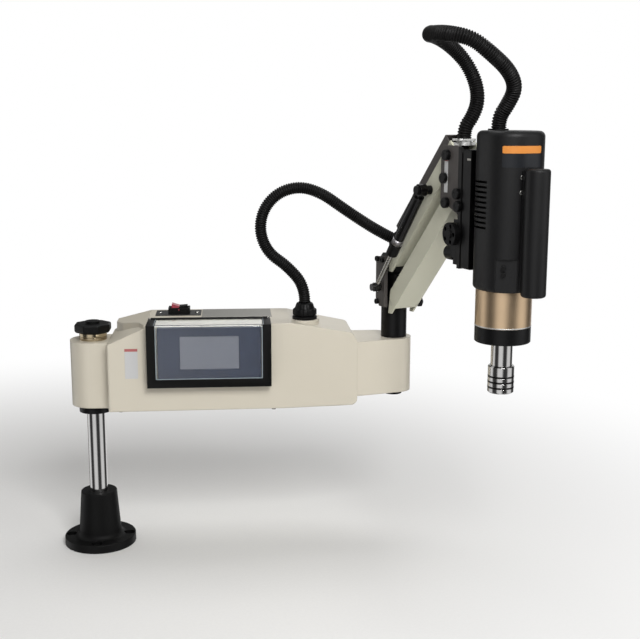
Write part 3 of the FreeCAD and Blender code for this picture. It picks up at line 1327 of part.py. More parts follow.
# ---------------------------------------------------------------- spindle and chuck
node(turned("Spindle", MOTOR, 0, 0, 0, [
    ("0", "-spindle_top"),
    ("0", "-chuck_bottom + chuck_bore_depth"),
    ("chuck_bore_radius", "-chuck_bottom + chuck_bore_depth"),
    ("chuck_bore_radius", "-chuck_bottom + bore_chamfer"),
    ("chuck_bore_radius + bore_chamfer", "-chuck_bottom"),
    ("spindle_radius", "-chuck_bottom"),
    ("spindle_radius", "-spindle_top"),
]), "spindle")
SLEEVE_IN = "spindle_radius + run_gap"
GROOVE_IN = "sleeve_radius - groove_depth"
sleeve_rim = [(SLEEVE_IN, "-chuck_bottom"), ("sleeve_radius - sleeve_chamfer", "-chuck_bottom"),
              ("sleeve_radius", "-chuck_bottom + sleeve_chamfer")]
for k in range(3):
    low = "-chuck_bottom + groove_first + groove_pitch * %d" % k
    sleeve_rim += [("sleeve_radius", low), (GROOVE_IN, low),
                   (GROOVE_IN, low + " + groove_width"), ("sleeve_radius", low + " + groove_width")]
sleeve_rim += [("sleeve_radius", "-chuck_top - sleeve_chamfer"),
               ("sleeve_radius - sleeve_chamfer", "-chuck_top"), (SLEEVE_IN, "-chuck_top")]
node(turned("ChuckSleeve", MOTOR, 0, 0, 0, sleeve_rim), "chuck_sleeve")

# ---------------------------------------------------------------- checks and export
doc.recompute()
for obj in doc.Objects:
    if "Invalid" in obj.State or "Error" in obj.State:
        raise RuntimeError("%s failed: %s" % (obj.Name, obj.State))
for obj in NODES:
    shape = obj.Shape
    if shape.isNull() or not shape.isValid() or not shape.Solids:
        raise RuntimeError("%s has no valid solid" % obj.Label)
os.makedirs("parts", exist_ok=True)
for obj in NODES:
    obj.Shape.exportStep(os.path.join("parts", obj.Label + ".step"))
print(len(NODES), "nodes written")
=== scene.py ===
import math

import bmesh
import bpy
from mathutils import Matrix, Vector


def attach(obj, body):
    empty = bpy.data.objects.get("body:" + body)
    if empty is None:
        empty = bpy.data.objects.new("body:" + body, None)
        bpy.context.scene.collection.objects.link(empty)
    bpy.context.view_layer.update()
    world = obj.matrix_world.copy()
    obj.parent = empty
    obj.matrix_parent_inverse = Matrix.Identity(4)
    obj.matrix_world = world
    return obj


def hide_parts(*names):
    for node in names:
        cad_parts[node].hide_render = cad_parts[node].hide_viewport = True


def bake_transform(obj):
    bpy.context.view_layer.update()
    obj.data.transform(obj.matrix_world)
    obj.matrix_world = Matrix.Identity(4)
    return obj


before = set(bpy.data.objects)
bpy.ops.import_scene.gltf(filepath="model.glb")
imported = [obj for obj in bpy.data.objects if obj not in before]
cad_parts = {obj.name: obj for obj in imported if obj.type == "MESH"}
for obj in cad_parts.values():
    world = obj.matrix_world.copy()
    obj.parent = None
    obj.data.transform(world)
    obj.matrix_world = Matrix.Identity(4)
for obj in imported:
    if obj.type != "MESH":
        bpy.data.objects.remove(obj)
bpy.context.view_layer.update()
scene = bpy.context.scene
MM = 0.001


# ---------------------------------------------------------------- camera
CAMERA_PLACE = (0.234434, -1.773305, 0.726152)
CAMERA_YAW = 4.617
CAMERA_PITCH = 10.940
CAMERA_ROLL = 0.119
CAMERA_LENS = 60.53


def add_camera():
    """Camera that sees the part as the photo does; its angles are in degrees."""
    yaw, pitch, roll = (math.radians(a) for a in (CAMERA_YAW, CAMERA_PITCH, CAMERA_ROLL))
    level = math.cos(pitch)
    forward = Vector((math.sin(yaw) * level, math.cos(yaw) * level, -math.sin(pitch)))
    side = Vector((math.cos(yaw), -math.sin(yaw), 0))
    up = side.cross(forward)
    right = side * math.cos(roll) + up * math.sin(roll)
    top = right.cross(forward)
    data = bpy.data.cameras.new("camera")
    data.sensor_width = 36
    data.sensor_fit = "HORIZONTAL"
    data.lens = CAMERA_LENS
    data.clip_start = 0.05
    cam = bpy.data.objects.new("camera", data)
    axes = Matrix((right, top, -forward)).transposed().to_4x4()
    cam.matrix_world = Matrix.Translation(CAMERA_PLACE) @ axes
    scene.collection.objects.link(cam)
    scene.camera = cam


add_camera()
scene.view_settings.view_transform = "Standard"


# ---------------------------------------------------------------- shader nodes
def lin(r, g, b):
    """Linear colour of an sRGB one given in 0 to 255."""
    def one(c):
        c /= 255
        return c / 12.92 if c <= 0.04045 else ((c + 0.055) / 1.055) ** 2.4
    return (one(r), one(g), one(b), 1.0)


class Graph:
    """A material's node tree, with short calls for the nodes used here."""

    def __init__(self, name):
        self.mat = bpy.data.materials.new(name)
        self.mat.use_nodes = True
        self.tree = self.mat.node_tree
        self.shader = self.tree.nodes["Principled BSDF"]
        self.out = self.tree.nodes["Material Output"]
        self.coords = self.tree.nodes.new("ShaderNodeTexCoord")

    def link(self, a, b):
        self.tree.links.new(a, b)

    def mapped(self, scale):
        node = self.tree.nodes.new("ShaderNodeMapping")
        node.inputs["Scale"].default_value = scale
        self.link(self.coords.outputs["Object"], node.inputs["Vector"])
        return node.outputs["Vector"]

    def noise(self, scale, detail=3.0, rough=0.55, stretch=None):
        node = self.tree.nodes.new("ShaderNodeTexNoise")
        node.inputs["Scale"].default_value = scale
        node.inputs["Detail"].default_value = detail
        node.inputs["Roughness"].default_value = rough
        vector = self.mapped(stretch) if stretch else self.coords.outputs["Object"]
        self.link(vector, node.inputs["Vector"])
        return node.outputs["Fac"]

    def span(self, value, low, high):
        node = self.tree.nodes.new("ShaderNodeMapRange")
        node.inputs["To Min"].default_value = low
        node.inputs["To Max"].default_value = high
        self.link(value, node.inputs["Value"])
        return node.outputs["Result"]

    def mix(self, fac, a, b):
        node = self.tree.nodes.new("ShaderNodeMix")
        node.data_type = "RGBA"
        self.link(fac, node.inputs[0])
        for socket, value in ((node.inputs[6], a), (node.inputs[7], b)):
            if isinstance(value, tuple):
                socket.default_value = value
            else:
                self.link(value, socket)
        return node.outputs[2]

    def math(self, op, a, b=None):
        node = self.tree.nodes.new("ShaderNodeMath")
        node.operation = op
        for socket, value in zip(node.inputs, (a, b)):
            if value is None:
                continue
            if isinstance(value, (int, float)):
                socket.default_value = value
            else:
                self.link(value, socket)
        return node.outputs["Value"]

    def edge(self, radius):
        """Rounded normal, and a mask that is 1 on convex and concave edges."""
        bevel = self.tree.nodes.new("ShaderNodeBevel")
        bevel.samples = 6
        bevel.inputs["Radius"].default_value = radius
        geometry = self.tree.nodes.new("ShaderNodeNewGeometry")
        dot = self.tree.nodes.new("ShaderNodeVectorMath")
        dot.operation = "DOT_PRODUCT"
        self.link(bevel.outputs["Normal"], dot.inputs[0])
        self.link(geometry.outputs["Normal"], dot.inputs[1])
        worn_and_lit = self.math("SUBTRACT", 1.0, dot.outputs["Value"])
        return bevel.outputs["Normal"], self.math("MULTIPLY", worn_and_lit, 4.0)

    def bump(self, height, strength, distance, normal=None):
        node = self.tree.nodes.new("ShaderNodeBump")
        node.inputs["Strength"].default_value = strength
        node.inputs["Distance"].default_value = distance
        self.link(height, node.inputs["Height"])
        if normal is not None:
            self.link(normal, node.inputs["Normal"])
        return node.outputs["Normal"]

    def set(self, **values):
        names = {"base": "Base Color", "rough": "Roughness", "metal": "Metallic",
                 "normal": "Normal", "coat": "Coat Weight", "coat_rough": "Coat Roughness",
                 "ior": "IOR", "transmission": "Transmission Weight",
                 "specular": "Specular IOR Level"}
        for key, value in values.items():
            socket = self.shader.inputs[names[key]]
            if hasattr(value, "is_output"):
                self.link(value, socket)
            else:
                socket.default_value = value
        return self.mat


def drifting(g, colour, spread, scale):
    """Base colour that drifts slowly to both sides of the given one."""
    dark = tuple(c * (1 - spread) for c in colour[:3]) + (1.0,)
    light = tuple(min(1, c * (1 + spread)) for c in colour[:3]) + (1.0,)
    return g.mix(g.noise(scale, 4.0), dark, light)


def painted(name, colour, rough, peel=0.12, edge=0.0016, wear_and_highlight=None, spread=0.05, coat=0.0,
            grain=900.0, specular=0.5):
    """Paint or moulded skin: fine skin texture, slow colour drift, softened edges; lighter edges
    are partly wear, partly painted highlight.
    """
    g = Graph(name)
    base = drifting(g, colour, spread, 14.0)
    normal, worn_and_lit = g.edge(edge)
    # The lighter edge colour is partly wear and partly a painted edge highlight, in noisy patches
    # on convex and concave edges.
    if wear_and_highlight:
        patch = g.math("MULTIPLY", worn_and_lit, g.span(g.noise(120.0, 5.0), -0.4, 1.5))
        base = g.mix(g.math("MINIMUM", g.math("MAXIMUM", patch, 0.0), 1.0), base, wear_and_highlight)
    normal = g.bump(g.noise(grain, 2.0), peel, 0.0004, normal)
    return g.set(base=base, rough=g.span(g.noise(60.0, 3.0), rough - 0.07, rough + 0.09),
                 normal=normal, coat=coat, coat_rough=0.15, specular=specular)


def metal(name, colour, rough, stretch=(1, 1, 1), grain=700.0, depth=0.05):
    """Bare metal with a lay of fine tool marks."""
    g = Graph(name)
    lay = g.noise(grain, 3.0, stretch=stretch)
    base = drifting(g, colour, 0.08, 35.0)
    normal, _ = g.edge(0.0008)
    normal = g.bump(lay, depth, 0.0003, normal)
    return g.set(base=base, rough=g.span(lay, rough - 0.06, rough + 0.1), metal=1.0, normal=normal)


UPRIGHT = (0.05, 0.05, 1.0)
CREAM = painted("cream_paint", lin(206, 199, 183), 0.38, peel=0.10, edge=0.0035, spread=0.018,
                coat=0.12)
CREAM_SHEET = painted("cream_sheet", lin(204, 203, 184), 0.42, peel=0.10, edge=0.0012, spread=0.02)
# Where a wear colour is given, every edge takes it in patches: partly wear, partly a painted edge
# highlight.
SHELL = painted("motor_shell", lin(17, 17, 18), 0.44, peel=0.28, edge=0.0020, spread=0.12,
                grain=1300.0, wear_and_highlight=lin(26, 26, 26), specular=0.26)
BLACK_CAST = painted("black_cast", lin(8, 8, 8), 0.55, peel=0.50, edge=0.0015, spread=0.30,
                     grain=420.0, wear_and_highlight=lin(20, 19, 19), specular=0.16)
BLACK = painted("black_metal", lin(8, 8, 9), 0.38, peel=0.18, edge=0.0008, spread=0.25,
                wear_and_highlight=lin(30, 29, 28), specular=0.20)
BLACK_PLASTIC = painted("black_plastic", lin(8, 8, 8), 0.42, peel=0.22, edge=0.0010, spread=0.20,
                        grain=1500.0, wear_and_highlight=lin(20, 20, 20), specular=0.17)
GLOSS_BLACK = painted("gloss_black", lin(9, 8, 8), 0.22, peel=0.04, edge=0.0010, spread=0.10,
                      coat=0.05, specular=0.25)
GREY = painted("grey_metal", lin(74, 70, 68), 0.48, peel=0.22, edge=0.0010, spread=0.08,
               wear_and_highlight=lin(104, 100, 96), specular=0.30)
DARK_BLUE = painted("panel_face", lin(42, 48, 64), 0.36, peel=0.12, edge=0.0010, spread=0.08,
                    specular=0.25)
DISPLAY = painted("display_glass", lin(104, 105, 111), 0.30, peel=0.0, edge=0.0004, spread=0.015,
                  specular=0.4)
RED = painted("red_plastic", lin(164, 62, 76), 0.34, peel=0.06, edge=0.0010, spread=0.05, coat=0.2)
RUBBER = painted("black_rubber", lin(8, 7, 7), 0.50, peel=0.25, edge=0.0003, spread=0.30,
                 grain=1800.0, specular=0.20)
LABEL_WHITE = painted("label_white", lin(196, 196, 196), 0.42, peel=0.03, edge=0.0003, spread=0.02)
LABEL_ROSE = painted("label_rose", lin(176, 98, 98), 0.42, peel=0.03, edge=0.0003, spread=0.04)
LABEL_ORANGE = painted("label_orange", lin(206, 130, 52), 0.42, peel=0.03, edge=0.0003, spread=0.04)
LABEL_DARK = painted("label_dark", lin(24, 26, 30), 0.33, peel=0.03, edge=0.0003, spread=0.04,
                     specular=0.30)
STEEL = metal("bare_steel", lin(176, 174, 170), 0.24, stretch=UPRIGHT, grain=900.0)
CHROME = metal("chrome_bar", lin(188, 187, 186), 0.10, stretch=UPRIGHT, grain=600.0, depth=0.02)
SILVER = metal("silver_casting", lin(214, 214, 212), 0.45, grain=500.0, depth=0.25)
BRASS = metal("brass", lin(178, 164, 138), 0.20, stretch=UPRIGHT, grain=900.0)
GOLD = metal("gold_aluminium", lin(206, 180, 148), 0.34, stretch=(0.04, 0.04, 1.0), grain=1100.0,
             depth=0.06)
SHEET = metal("blank_metal", lin(172, 170, 164), 0.42, stretch=(1.0, 0.04, 1.0), grain=800.0,
              depth=0.08)
PLATE = painted("black_plate", lin(13, 13, 14), 0.36, peel=0.08, edge=0.0005, spread=0.10,
                wear_and_highlight=lin(70, 69, 68))
# Painted highlight colour for the clear sheet's lit edges.
EDGE_LIT = painted("acrylic_edge_highlight", lin(150, 162, 168), 0.25, peel=0.02, edge=0.0003, spread=0.03)
BAND = metal("tube_band", lin(150, 148, 150), 0.40, grain=900.0, depth=0.05)


def clear(name, tint):
    """Clear acrylic that lets light through to what is behind it."""
    g = Graph(name)
    g.set(base=tint, rough=0.03, transmission=1.0, ior=1.45, specular=0.5)
    path = g.tree.nodes.new("ShaderNodeLightPath")
    open_shader = g.tree.nodes.new("ShaderNodeBsdfTransparent")
    open_shader.inputs["Color"].default_value = (0.90, 0.92, 0.93, 1)
    mix = g.tree.nodes.new("ShaderNodeMixShader")
    g.link(path.outputs["Is Shadow Ray"], mix.inputs[0])
    g.link(g.shader.outputs[0], mix.inputs[1])
    g.link(open_shader.outputs[0], mix.inputs[2])
    g.link(mix.outputs[0], g.out.inputs["Surface"])
    scratch = g.bump(g.noise(30.0, 3.0, stretch=(1, 1, 6)), 0.004, 0.0002)
    return g.set(normal=scratch)


CLEAR = clear("clear_acrylic", (0.88, 0.90, 0.92, 1))


def beyond(look, name, colour, frame_matrix, axis, level, sign=1, plain=False):
    """Copy of a look that takes another colour where one of a frame's axes passes a level."""
    mat = look.copy()
    mat.name = name
    tree = mat.node_tree
    shader = tree.nodes["Principled BSDF"]
    coords = tree.nodes.new("ShaderNodeTexCoord")
    back = frame_matrix.inverted()
    dot = tree.nodes.new("ShaderNodeVectorMath")
    dot.operation = "DOT_PRODUCT"
    tree.links.new(coords.outputs["Object"], dot.inputs[0])
    dot.inputs[1].default_value = Vector(back[axis][:3]) * sign
    step = tree.nodes.new("ShaderNodeMath")
    step.operation = "GREATER_THAN"
    tree.links.new(dot.outputs["Value"], step.inputs[0])
    step.inputs[1].default_value = level - back[axis][3] * sign
    mix = tree.nodes.new("ShaderNodeMix")
    mix.data_type = "RGBA"
    tree.links.new(step.outputs[0], mix.inputs[0])
    tree.links.new(shader.inputs["Base Color"].links[0].from_socket, mix.inputs[6])
    mix.inputs[7].default_value = colour
    tree.links.new(mix.outputs[2], shader.inputs["Base Color"])
    if plain:
        rest = tree.nodes.new("ShaderNodeMath")
        rest.operation = "SUBTRACT"
        rest.inputs[0].default_value = 1.0
        tree.links.new(step.outputs[0], rest.inputs[1])
        tree.links.new(rest.outputs[0], shader.inputs["Metallic"])
    return mat


LOOK_NODES = (
    (BLACK_CAST, "base_flange"),
    (CHROME, "column spindle chuck_sleeve"),
    (BLACK, "stop_collar servo_driver elbow_shaft elbow_retainer lower_bracket lower_pivot_pins "
            "hose_socket spring_stud head_bolts upper_pivot_pins clamp_block index_plunger "
            "back_plate servo_motor lower_ring"),
    (BLACK_PLASTIC, "lock_knob switch_body gland_body gland_nut cover_frame rocker_switch "
                    "spring_cap clamp_wheel hose_collar start_button reverse_button"),
    (STEEL, "knob_stud cover_screws power_supply hinge_pin spring_rod swivel_shaft swivel_nut"),
    (CREAM, "arm_housing"),
    (CREAM_SHEET, "bottom_cover main_beam upper_link"),
    (BRASS, "column_bushes elbow_bushes thrust_washer"),
    (DARK_BLUE, "operator_panel"),
    (DISPLAY, "display_glass"),
    (PLATE, "switch_plate"),
    (SHEET, "name_plate"),
    (CLEAR, "cover_window"),
    (GREY, "anchor_plate cable_duct head_bracket"),
    (SILVER, "hose_saddle"),
    (GLOSS_BLACK, "spring_tube"),
    (SHELL, "motor_cover handle_pod"),
    (GOLD, "gearbox_ring"),
)
NODE_LOOK = {node: look for look, nodes in LOOK_NODES for node in nodes.split()}
for node_name, node_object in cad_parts.items():
    node_object.data.materials.clear()
    node_object.data.materials.append(NODE_LOOK.get(node_name, RUBBER))

# ---------------------------------------------------------------- frames of the moving parts
ELBOW_AHEAD = 0.503
ELBOW_TURN = math.radians(-68.5)
LIFT = math.radians(46.5)
LINK_LENGTH = 0.248
PIVOT_AHEAD = 0.028
BEAM_PIVOT_UP = 0.414
LINK_PIVOT_UP = 0.484
MOTOR_AHEAD = 0.1113
SPRING_ALONG, SPRING_OFF = 0.1698, 0.0026
SPRING_FOOT = (0.006, 0.440)
SPRING_SIDE = -0.038
ELBOW = Matrix.Translation((ELBOW_AHEAD, 0, 0)) @ Matrix.Rotation(ELBOW_TURN, 4, "Z")
RUN, RISE = LINK_LENGTH * math.cos(LIFT), LINK_LENGTH * math.sin(LIFT)
HEAD = ELBOW @ Matrix.Translation((PIVOT_AHEAD + RUN, 0, BEAM_PIVOT_UP + RISE))
MOTOR = HEAD @ Matrix.Translation((MOTOR_AHEAD, 0, 0))
SPRING_TOP = (PIVOT_AHEAD + SPRING_ALONG * math.cos(LIFT) - SPRING_OFF * math.sin(LIFT),
              LINK_PIVOT_UP + SPRING_ALONG * math.sin(LIFT) + SPRING_OFF * math.cos(LIFT))
SPRING_ANGLE = math.atan2(SPRING_TOP[1] - SPRING_FOOT[1], SPRING_TOP[0] - SPRING_FOOT[0])
SPRING = (ELBOW @ Matrix.Translation((SPRING_TOP[0], SPRING_SIDE, SPRING_TOP[1]))
          @ Matrix.Rotation(math.pi - SPRING_ANGLE, 4, "Y"))
TURN_X = Matrix.Rotation(math.radians(90), 4, "Y")
FRONTWARD = Matrix.Rotation(math.radians(90), 4, "X")
BACKWARD = Matrix.Rotation(math.radians(-90), 4, "X")

DARK_PART = lin(12, 12, 12)
DARK_BOLT = lin(14, 14, 14)
CREAM_FACE = lin(196, 195, 178)
for node_name, look in (
        ("head_bracket", beyond(GREY, "bracket_paint", DARK_PART, HEAD, 0, 0.0285)),
        ("spring_rod", beyond(STEEL, "rod_finish", DARK_BOLT, SPRING, 0, 0.207, plain=True)),
        ("lower_pivot_pins", beyond(BLACK, "pin_finish", CREAM_FACE, ELBOW, 1, 0.0216, sign=-1))):
    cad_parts[node_name].data.materials[0] = look


# ---------------------------------------------------------------- mesh helpers
def piece(name, mesh, look, body=None, slot=None, stands_for=(), smooth=35.0):
    """Object of the scene; its faces shade smooth below the angle smooth, in degrees."""
    obj = bpy.data.objects.new(name, mesh)
    scene.collection.objects.link(obj)
    mesh.materials.append(look)
    mesh.shade_smooth()
    mesh.set_sharp_from_angle(angle=math.radians(smooth))
    if body:
        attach(obj, body)
    if stands_for:
        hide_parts(*stands_for)
    return obj


def circle(radius, height, count):
    """Points (x, y, z) evenly round the local Z."""
    return [(radius * math.cos(2 * math.pi * k / count), radius * math.sin(2 * math.pi * k / count),
             height) for k in range(count)]


def to_mesh(name, bm):
    bmesh.ops.recalc_face_normals(bm, faces=bm.faces[:])
    mesh = bpy.data.meshes.new(name)
    bm.to_mesh(mesh)
    bm.free()
    return mesh


def lathe_into(bm, profile, matrix, segments=64):
    """Revolve (radius, height) corners about the local Z; the profile closes on itself unless it
    starts and ends on the axis."""
    rings = []
    for radius, height in profile:
        if radius < 1e-7:
            rings.append([bm.verts.new(matrix @ Vector((0, 0, height)))])
            continue
        rings.append([bm.verts.new(matrix @ Vector(p)) for p in circle(radius, height, segments)])
    pairs = list(zip(rings, rings[1:]))
    if len(rings[0]) > 1 and len(rings[-1]) > 1:
        pairs.append((rings[-1], rings[0]))
    for a, b in pairs:
        for k in range(segments):
            n = (k + 1) % segments
            if len(a) == 1 and len(b) == 1:
                continue
            if len(a) == 1:
                bm.faces.new((a[0], b[k], b[n]))
            elif len(b) == 1:
                bm.faces.new((a[k], b[0], a[n]))
            else:
                bm.faces.new((a[k], b[k], b[n], a[n]))


def prism_into(bm, corners, low, high, matrix, bevel=0.0, segments=2):
    """Extrude (x, y) corners from z=low to z=high and round every edge."""
    part = bmesh.new()
    bottom = [part.verts.new((x, y, low)) for x, y in corners]
    top = [part.verts.new((x, y, high)) for x, y in corners]
    part.faces.new(bottom[::-1])
    part.faces.new(top)
    for k in range(len(corners)):
        n = (k + 1) % len(corners)
        part.faces.new((bottom[k], bottom[n], top[n], top[k]))
    bmesh.ops.recalc_face_normals(part, faces=part.faces[:])
    if bevel:
        edges = [e for e in part.edges if e.calc_face_angle(0) > math.radians(20)]
        bmesh.ops.bevel(part, geom=edges, offset=bevel, segments=segments, profile=0.6,
                        affect="EDGES", clamp_overlap=True)
    part.transform(matrix)
    mesh = bpy.data.meshes.new("part")
    part.to_mesh(mesh)
    part.free()
    bm.from_mesh(mesh)
    bpy.data.meshes.remove(mesh)


def box_into(bm, low, high, matrix, bevel=0.0, segments=2):
    corners = [(low[0], low[1]), (high[0], low[1]), (high[0], high[1]), (low[0], high[1])]
    prism_into(bm, corners, low[2], high[2], matrix, bevel, segments)


# ---------------------------------------------------------------- hoses
LOWER_ROUTE = [
    (350.6, -18.0, 415.6), (350.6, -18.0, 442.5), (322.0, -21.0, 476.5), (290.4, -24.2, 499.0),
    (276.2, -25.8, 534.3), (282.8, -25.1, 570.8), (308.1, -22.4, 597.9), (343.9, -18.6, 606.8),
    (379.0, -15.2, 595.3), (408.4, -11.5, 574.5), (437.6, -9.1, 554.5), (474.5, -4.9, 531.1),
    (499.2, -2.3, 518.7),
]
REAR_ROUTE = [
    (575.9, -184.3, 687.4), (575.9, -184.3, 702.8), (586.8, -183.8, 718.0), (595.4, -180.0, 738.0),
    (595.3, -174.3, 761.0), (586.4, -168.7, 786.1), (570.5, -167.2, 808.3), (546.5, -177.8, 825.9),
    (524.1, -200.6, 833.6), (510.6, -231.7, 832.3), (511.25, -248.3, 832.5),
]
FRONT_ROUTE = [
    (511.25, -248.3, 832.5), (511.9, -264.9, 832.7), (527.9, -293.1, 830.6), (556.1, -307.5, 823.7),
    (581.0, -307.5, 805.5), (611.0, -296.4, 782.4), (624.9, -284.0, 758.6), (616.5, -272.2, 735.0),
    (607.3, -265.2, 718.9), (607.3, -265.2, 703.1),
]


def centre_line(route):
    """Points along a smooth NURBS spline whose control points are the route's."""
    curve = bpy.data.curves.new("route", "CURVE")
    curve.dimensions = "3D"
    curve.resolution_u = 24
    line = curve.splines.new("NURBS")
    line.points.add(len(route) - 1)
    for point, place in zip(line.points, route):
        point.co = (*(Vector(place) * MM), 1)
    line.order_u = 3
    line.use_endpoint_u = True
    obj = bpy.data.objects.new("route", curve)
    scene.collection.objects.link(obj)
    bpy.context.view_layer.update()
    shown = obj.evaluated_get(bpy.context.evaluated_depsgraph_get())
    mesh = bpy.data.meshes.new_from_object(shown)
    points = [v.co.copy() for v in mesh.vertices]
    bpy.data.objects.remove(obj)
    bpy.data.meshes.remove(mesh)
    return points


def along(points, step):
    """Places at even steps along a line, ends included, and the line's length."""
    lengths = [0.0]
    for a, b in zip(points, points[1:]):
        lengths.append(lengths[-1] + (b - a).length)
    count = max(2, round(lengths[-1] / step))
    result = []
    k = 0
    for i in range(count + 1):
        s = lengths[-1] * i / count
        while k < len(points) - 2 and lengths[k + 1] < s:
            k += 1
        share = (s - lengths[k]) / max(1e-9, lengths[k + 1] - lengths[k])
        result.append(points[k].lerp(points[k + 1], min(1, max(0, share))))
    return result, lengths[-1]


RIB_PITCH = 0.0036
RIB_SHAPE = ((0.00, -0.075), (0.14, -0.03), (0.30, 0.0), (0.55, 0.0), (0.72, -0.03), (0.86, -0.075))
HOSE_SEGMENTS = 30


def corrugated(name, points, diameter):
    """Ribbed hose: each rib is a rounded crest and a narrow valley."""
    fine, length = along(points, RIB_PITCH / 24)
    ribs = round(length / RIB_PITCH)
    side = None
    bm = bmesh.new()
    rings = []
    last = len(fine) - 1
    for rib in range(ribs + 1):
        for share, depth in RIB_SHAPE if rib < ribs else RIB_SHAPE[:1]:
            k = min(last, round((rib + share) / ribs * last))
            before, after = fine[max(0, k - 3)], fine[min(last, k + 3)]
            ahead = (after - before).normalized()
            if side is None:
                side = ahead.orthogonal().normalized()
            side = (side - ahead * side.dot(ahead)).normalized()
            other = ahead.cross(side)
            radius = diameter / 2 * (1 + 2 * depth)
            rings.append([bm.verts.new(fine[k] + side * x + other * y)
                          for x, y, _ in circle(radius, 0, HOSE_SEGMENTS)])
    for a, b in zip(rings, rings[1:]):
        for i in range(HOSE_SEGMENTS):
            n = (i + 1) % HOSE_SEGMENTS
            bm.faces.new((a[i], a[n], b[n], b[i]))
    bm.faces.new(rings[0][::-1])
    bm.faces.new(rings[-1])
    return to_mesh(name, bm)


def add_hose(name, route, diameter, node):
    points = centre_line(route)
    obj = piece(name, corrugated(name, points, diameter), RUBBER, slot="black_rubber",
                stands_for=(node,), smooth=60)
    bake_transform(obj)


def joining_ring():
    """Slim ring where the two lengths of the upper hose meet."""
    middle = Vector(FRONT_ROUTE[0]) * MM
    direction = (Vector(FRONT_ROUTE[1]) - Vector(REAR_ROUTE[-2])).normalized()
    matrix = Matrix.Translation(middle) @ direction.to_track_quat("Z", "Y").to_matrix().to_4x4()
    bm = bmesh.new()
    lathe_into(bm, [(0.0085, -0.005), (0.0108, -0.005), (0.0114, -0.0042), (0.0114, 0.0042),
                    (0.0108, 0.005), (0.0085, 0.005)], matrix)
    return piece("hose_joining_ring", to_mesh("hose_joining_ring", bm), RUBBER, "head",
                 "black_rubber")


ring = joining_ring()
add_hose("corrugated_hose_lower", LOWER_ROUTE, 0.0192, "lower_hose")
add_hose("corrugated_hose_rear", REAR_ROUTE, 0.0215, "upper_hose_rear")
add_hose("corrugated_hose_front", FRONT_ROUTE, 0.0215, "upper_hose_front")


# ---------------------------------------------------------------- details
# In millimetres from here on, each in the frame of the body it rides on.
UNIT = Matrix.Scale(MM, 4)
STAND_MM, HEAD_MM, MOTOR_MM, ELBOW_MM = UNIT, HEAD @ UNIT, MOTOR @ UNIT, ELBOW @ UNIT
SPRING_MM = SPRING @ UNIT
# local x, y, z of an outline drawn in the frame's y-z plane and extruded along x
CROSS = Matrix(((0, 0, 1, 0), (1, 0, 0, 0), (0, 1, 0, 0), (0, 0, 0, 1)))
ARM_TOP = 389.0
ARM_FRONT = -62.0
EMBED = 0.02
LABEL_THICK = 0.28


def at(x, y, z):
    return Matrix.Translation((x, y, z))


def boxes(name, rows, matrix, look, body, slot, bevel, segments=1, **more):
    """One piece made of boxes, each given by its low and its high corner."""
    bm = bmesh.new()
    for low, high in rows:
        box_into(bm, low, high, matrix, bevel, segments)
    return piece(name, to_mesh(name, bm), look, body, slot, **more)


def ring_stack(bm, rings, matrix, count, closed=True):
    """Skin rings of equal count; each ring is a list of (x, y, z)."""
    loops = [[bm.verts.new(matrix @ Vector(p)) for p in ring] for ring in rings]
    for a, b in zip(loops, loops[1:]):
        for k in range(count):
            n = (k + 1) % count
            bm.faces.new((a[k], b[k], b[n], a[n]))
    if closed:
        bm.faces.new(loops[0])
        bm.faces.new(loops[-1][::-1])


def socket_cap(bm, matrix, radius, height, hexagon, knurl=0.012):
    """Cap-screw head with a hexagon socket, standing on z=0."""
    count = 48

    def turn(r, z, rough=0.0):
        return [(x * (1 - rough * (k % 2)), y * (1 - rough * (k % 2)), z)
                for k, (x, y, _) in enumerate(circle(r, z, count))]

    def hexa(z, grow=1.0):
        ring = []
        for k in range(count):
            angle = 2 * math.pi * k / count
            share = (angle % (math.pi / 3)) - math.pi / 6
            r = grow * hexagon * math.cos(math.pi / 6) / math.cos(share)
            ring.append((r * math.cos(angle), r * math.sin(angle), z))
        return ring
    chamfer = 0.09 * radius
    ring_stack(bm, [turn(radius, 0), turn(radius, height * 0.12, knurl),
                    turn(radius, height - chamfer, knurl), turn(radius - chamfer, height),
                    hexa(height, 1.10), hexa(height - 0.35), hexa(height * 0.35)], matrix, count)


PIN_HEAD = 8.0
PIN_REACH = 9.0
PIN_SOCKET = 3.6
CAP_HEIGHT = 1.1


def head_caps(name, node, frame_matrix, centres, body):
    """Socket heads over the plain heads of a node's pins, at both ends of each."""
    inverse = frame_matrix.inverted()
    places = [inverse @ v.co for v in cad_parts[node].data.vertices]
    bm = bmesh.new()
    for x, z in centres:
        near = [p for p in places if math.hypot(p.x - x, p.z - z) < PIN_REACH]
        wide = [p for p in near if math.hypot(p.x - x, p.z - z) > PIN_HEAD * 0.8]
        ends = min(p.y for p in near), max(p.y for p in near)
        for face in (min(p.y for p in wide), max(p.y for p in wide)):
            if min(abs(face - e) for e in ends) > 1.2:
                continue
            turn = FRONTWARD if face < sum(ends) / 2 else BACKWARD
            socket_cap(bm, frame_matrix @ at(x, face, z) @ turn, PIN_HEAD * 0.985, CAP_HEIGHT,
                       PIN_SOCKET)
    return piece(name, to_mesh(name, bm), BLACK, body, "black_metal", smooth=25)


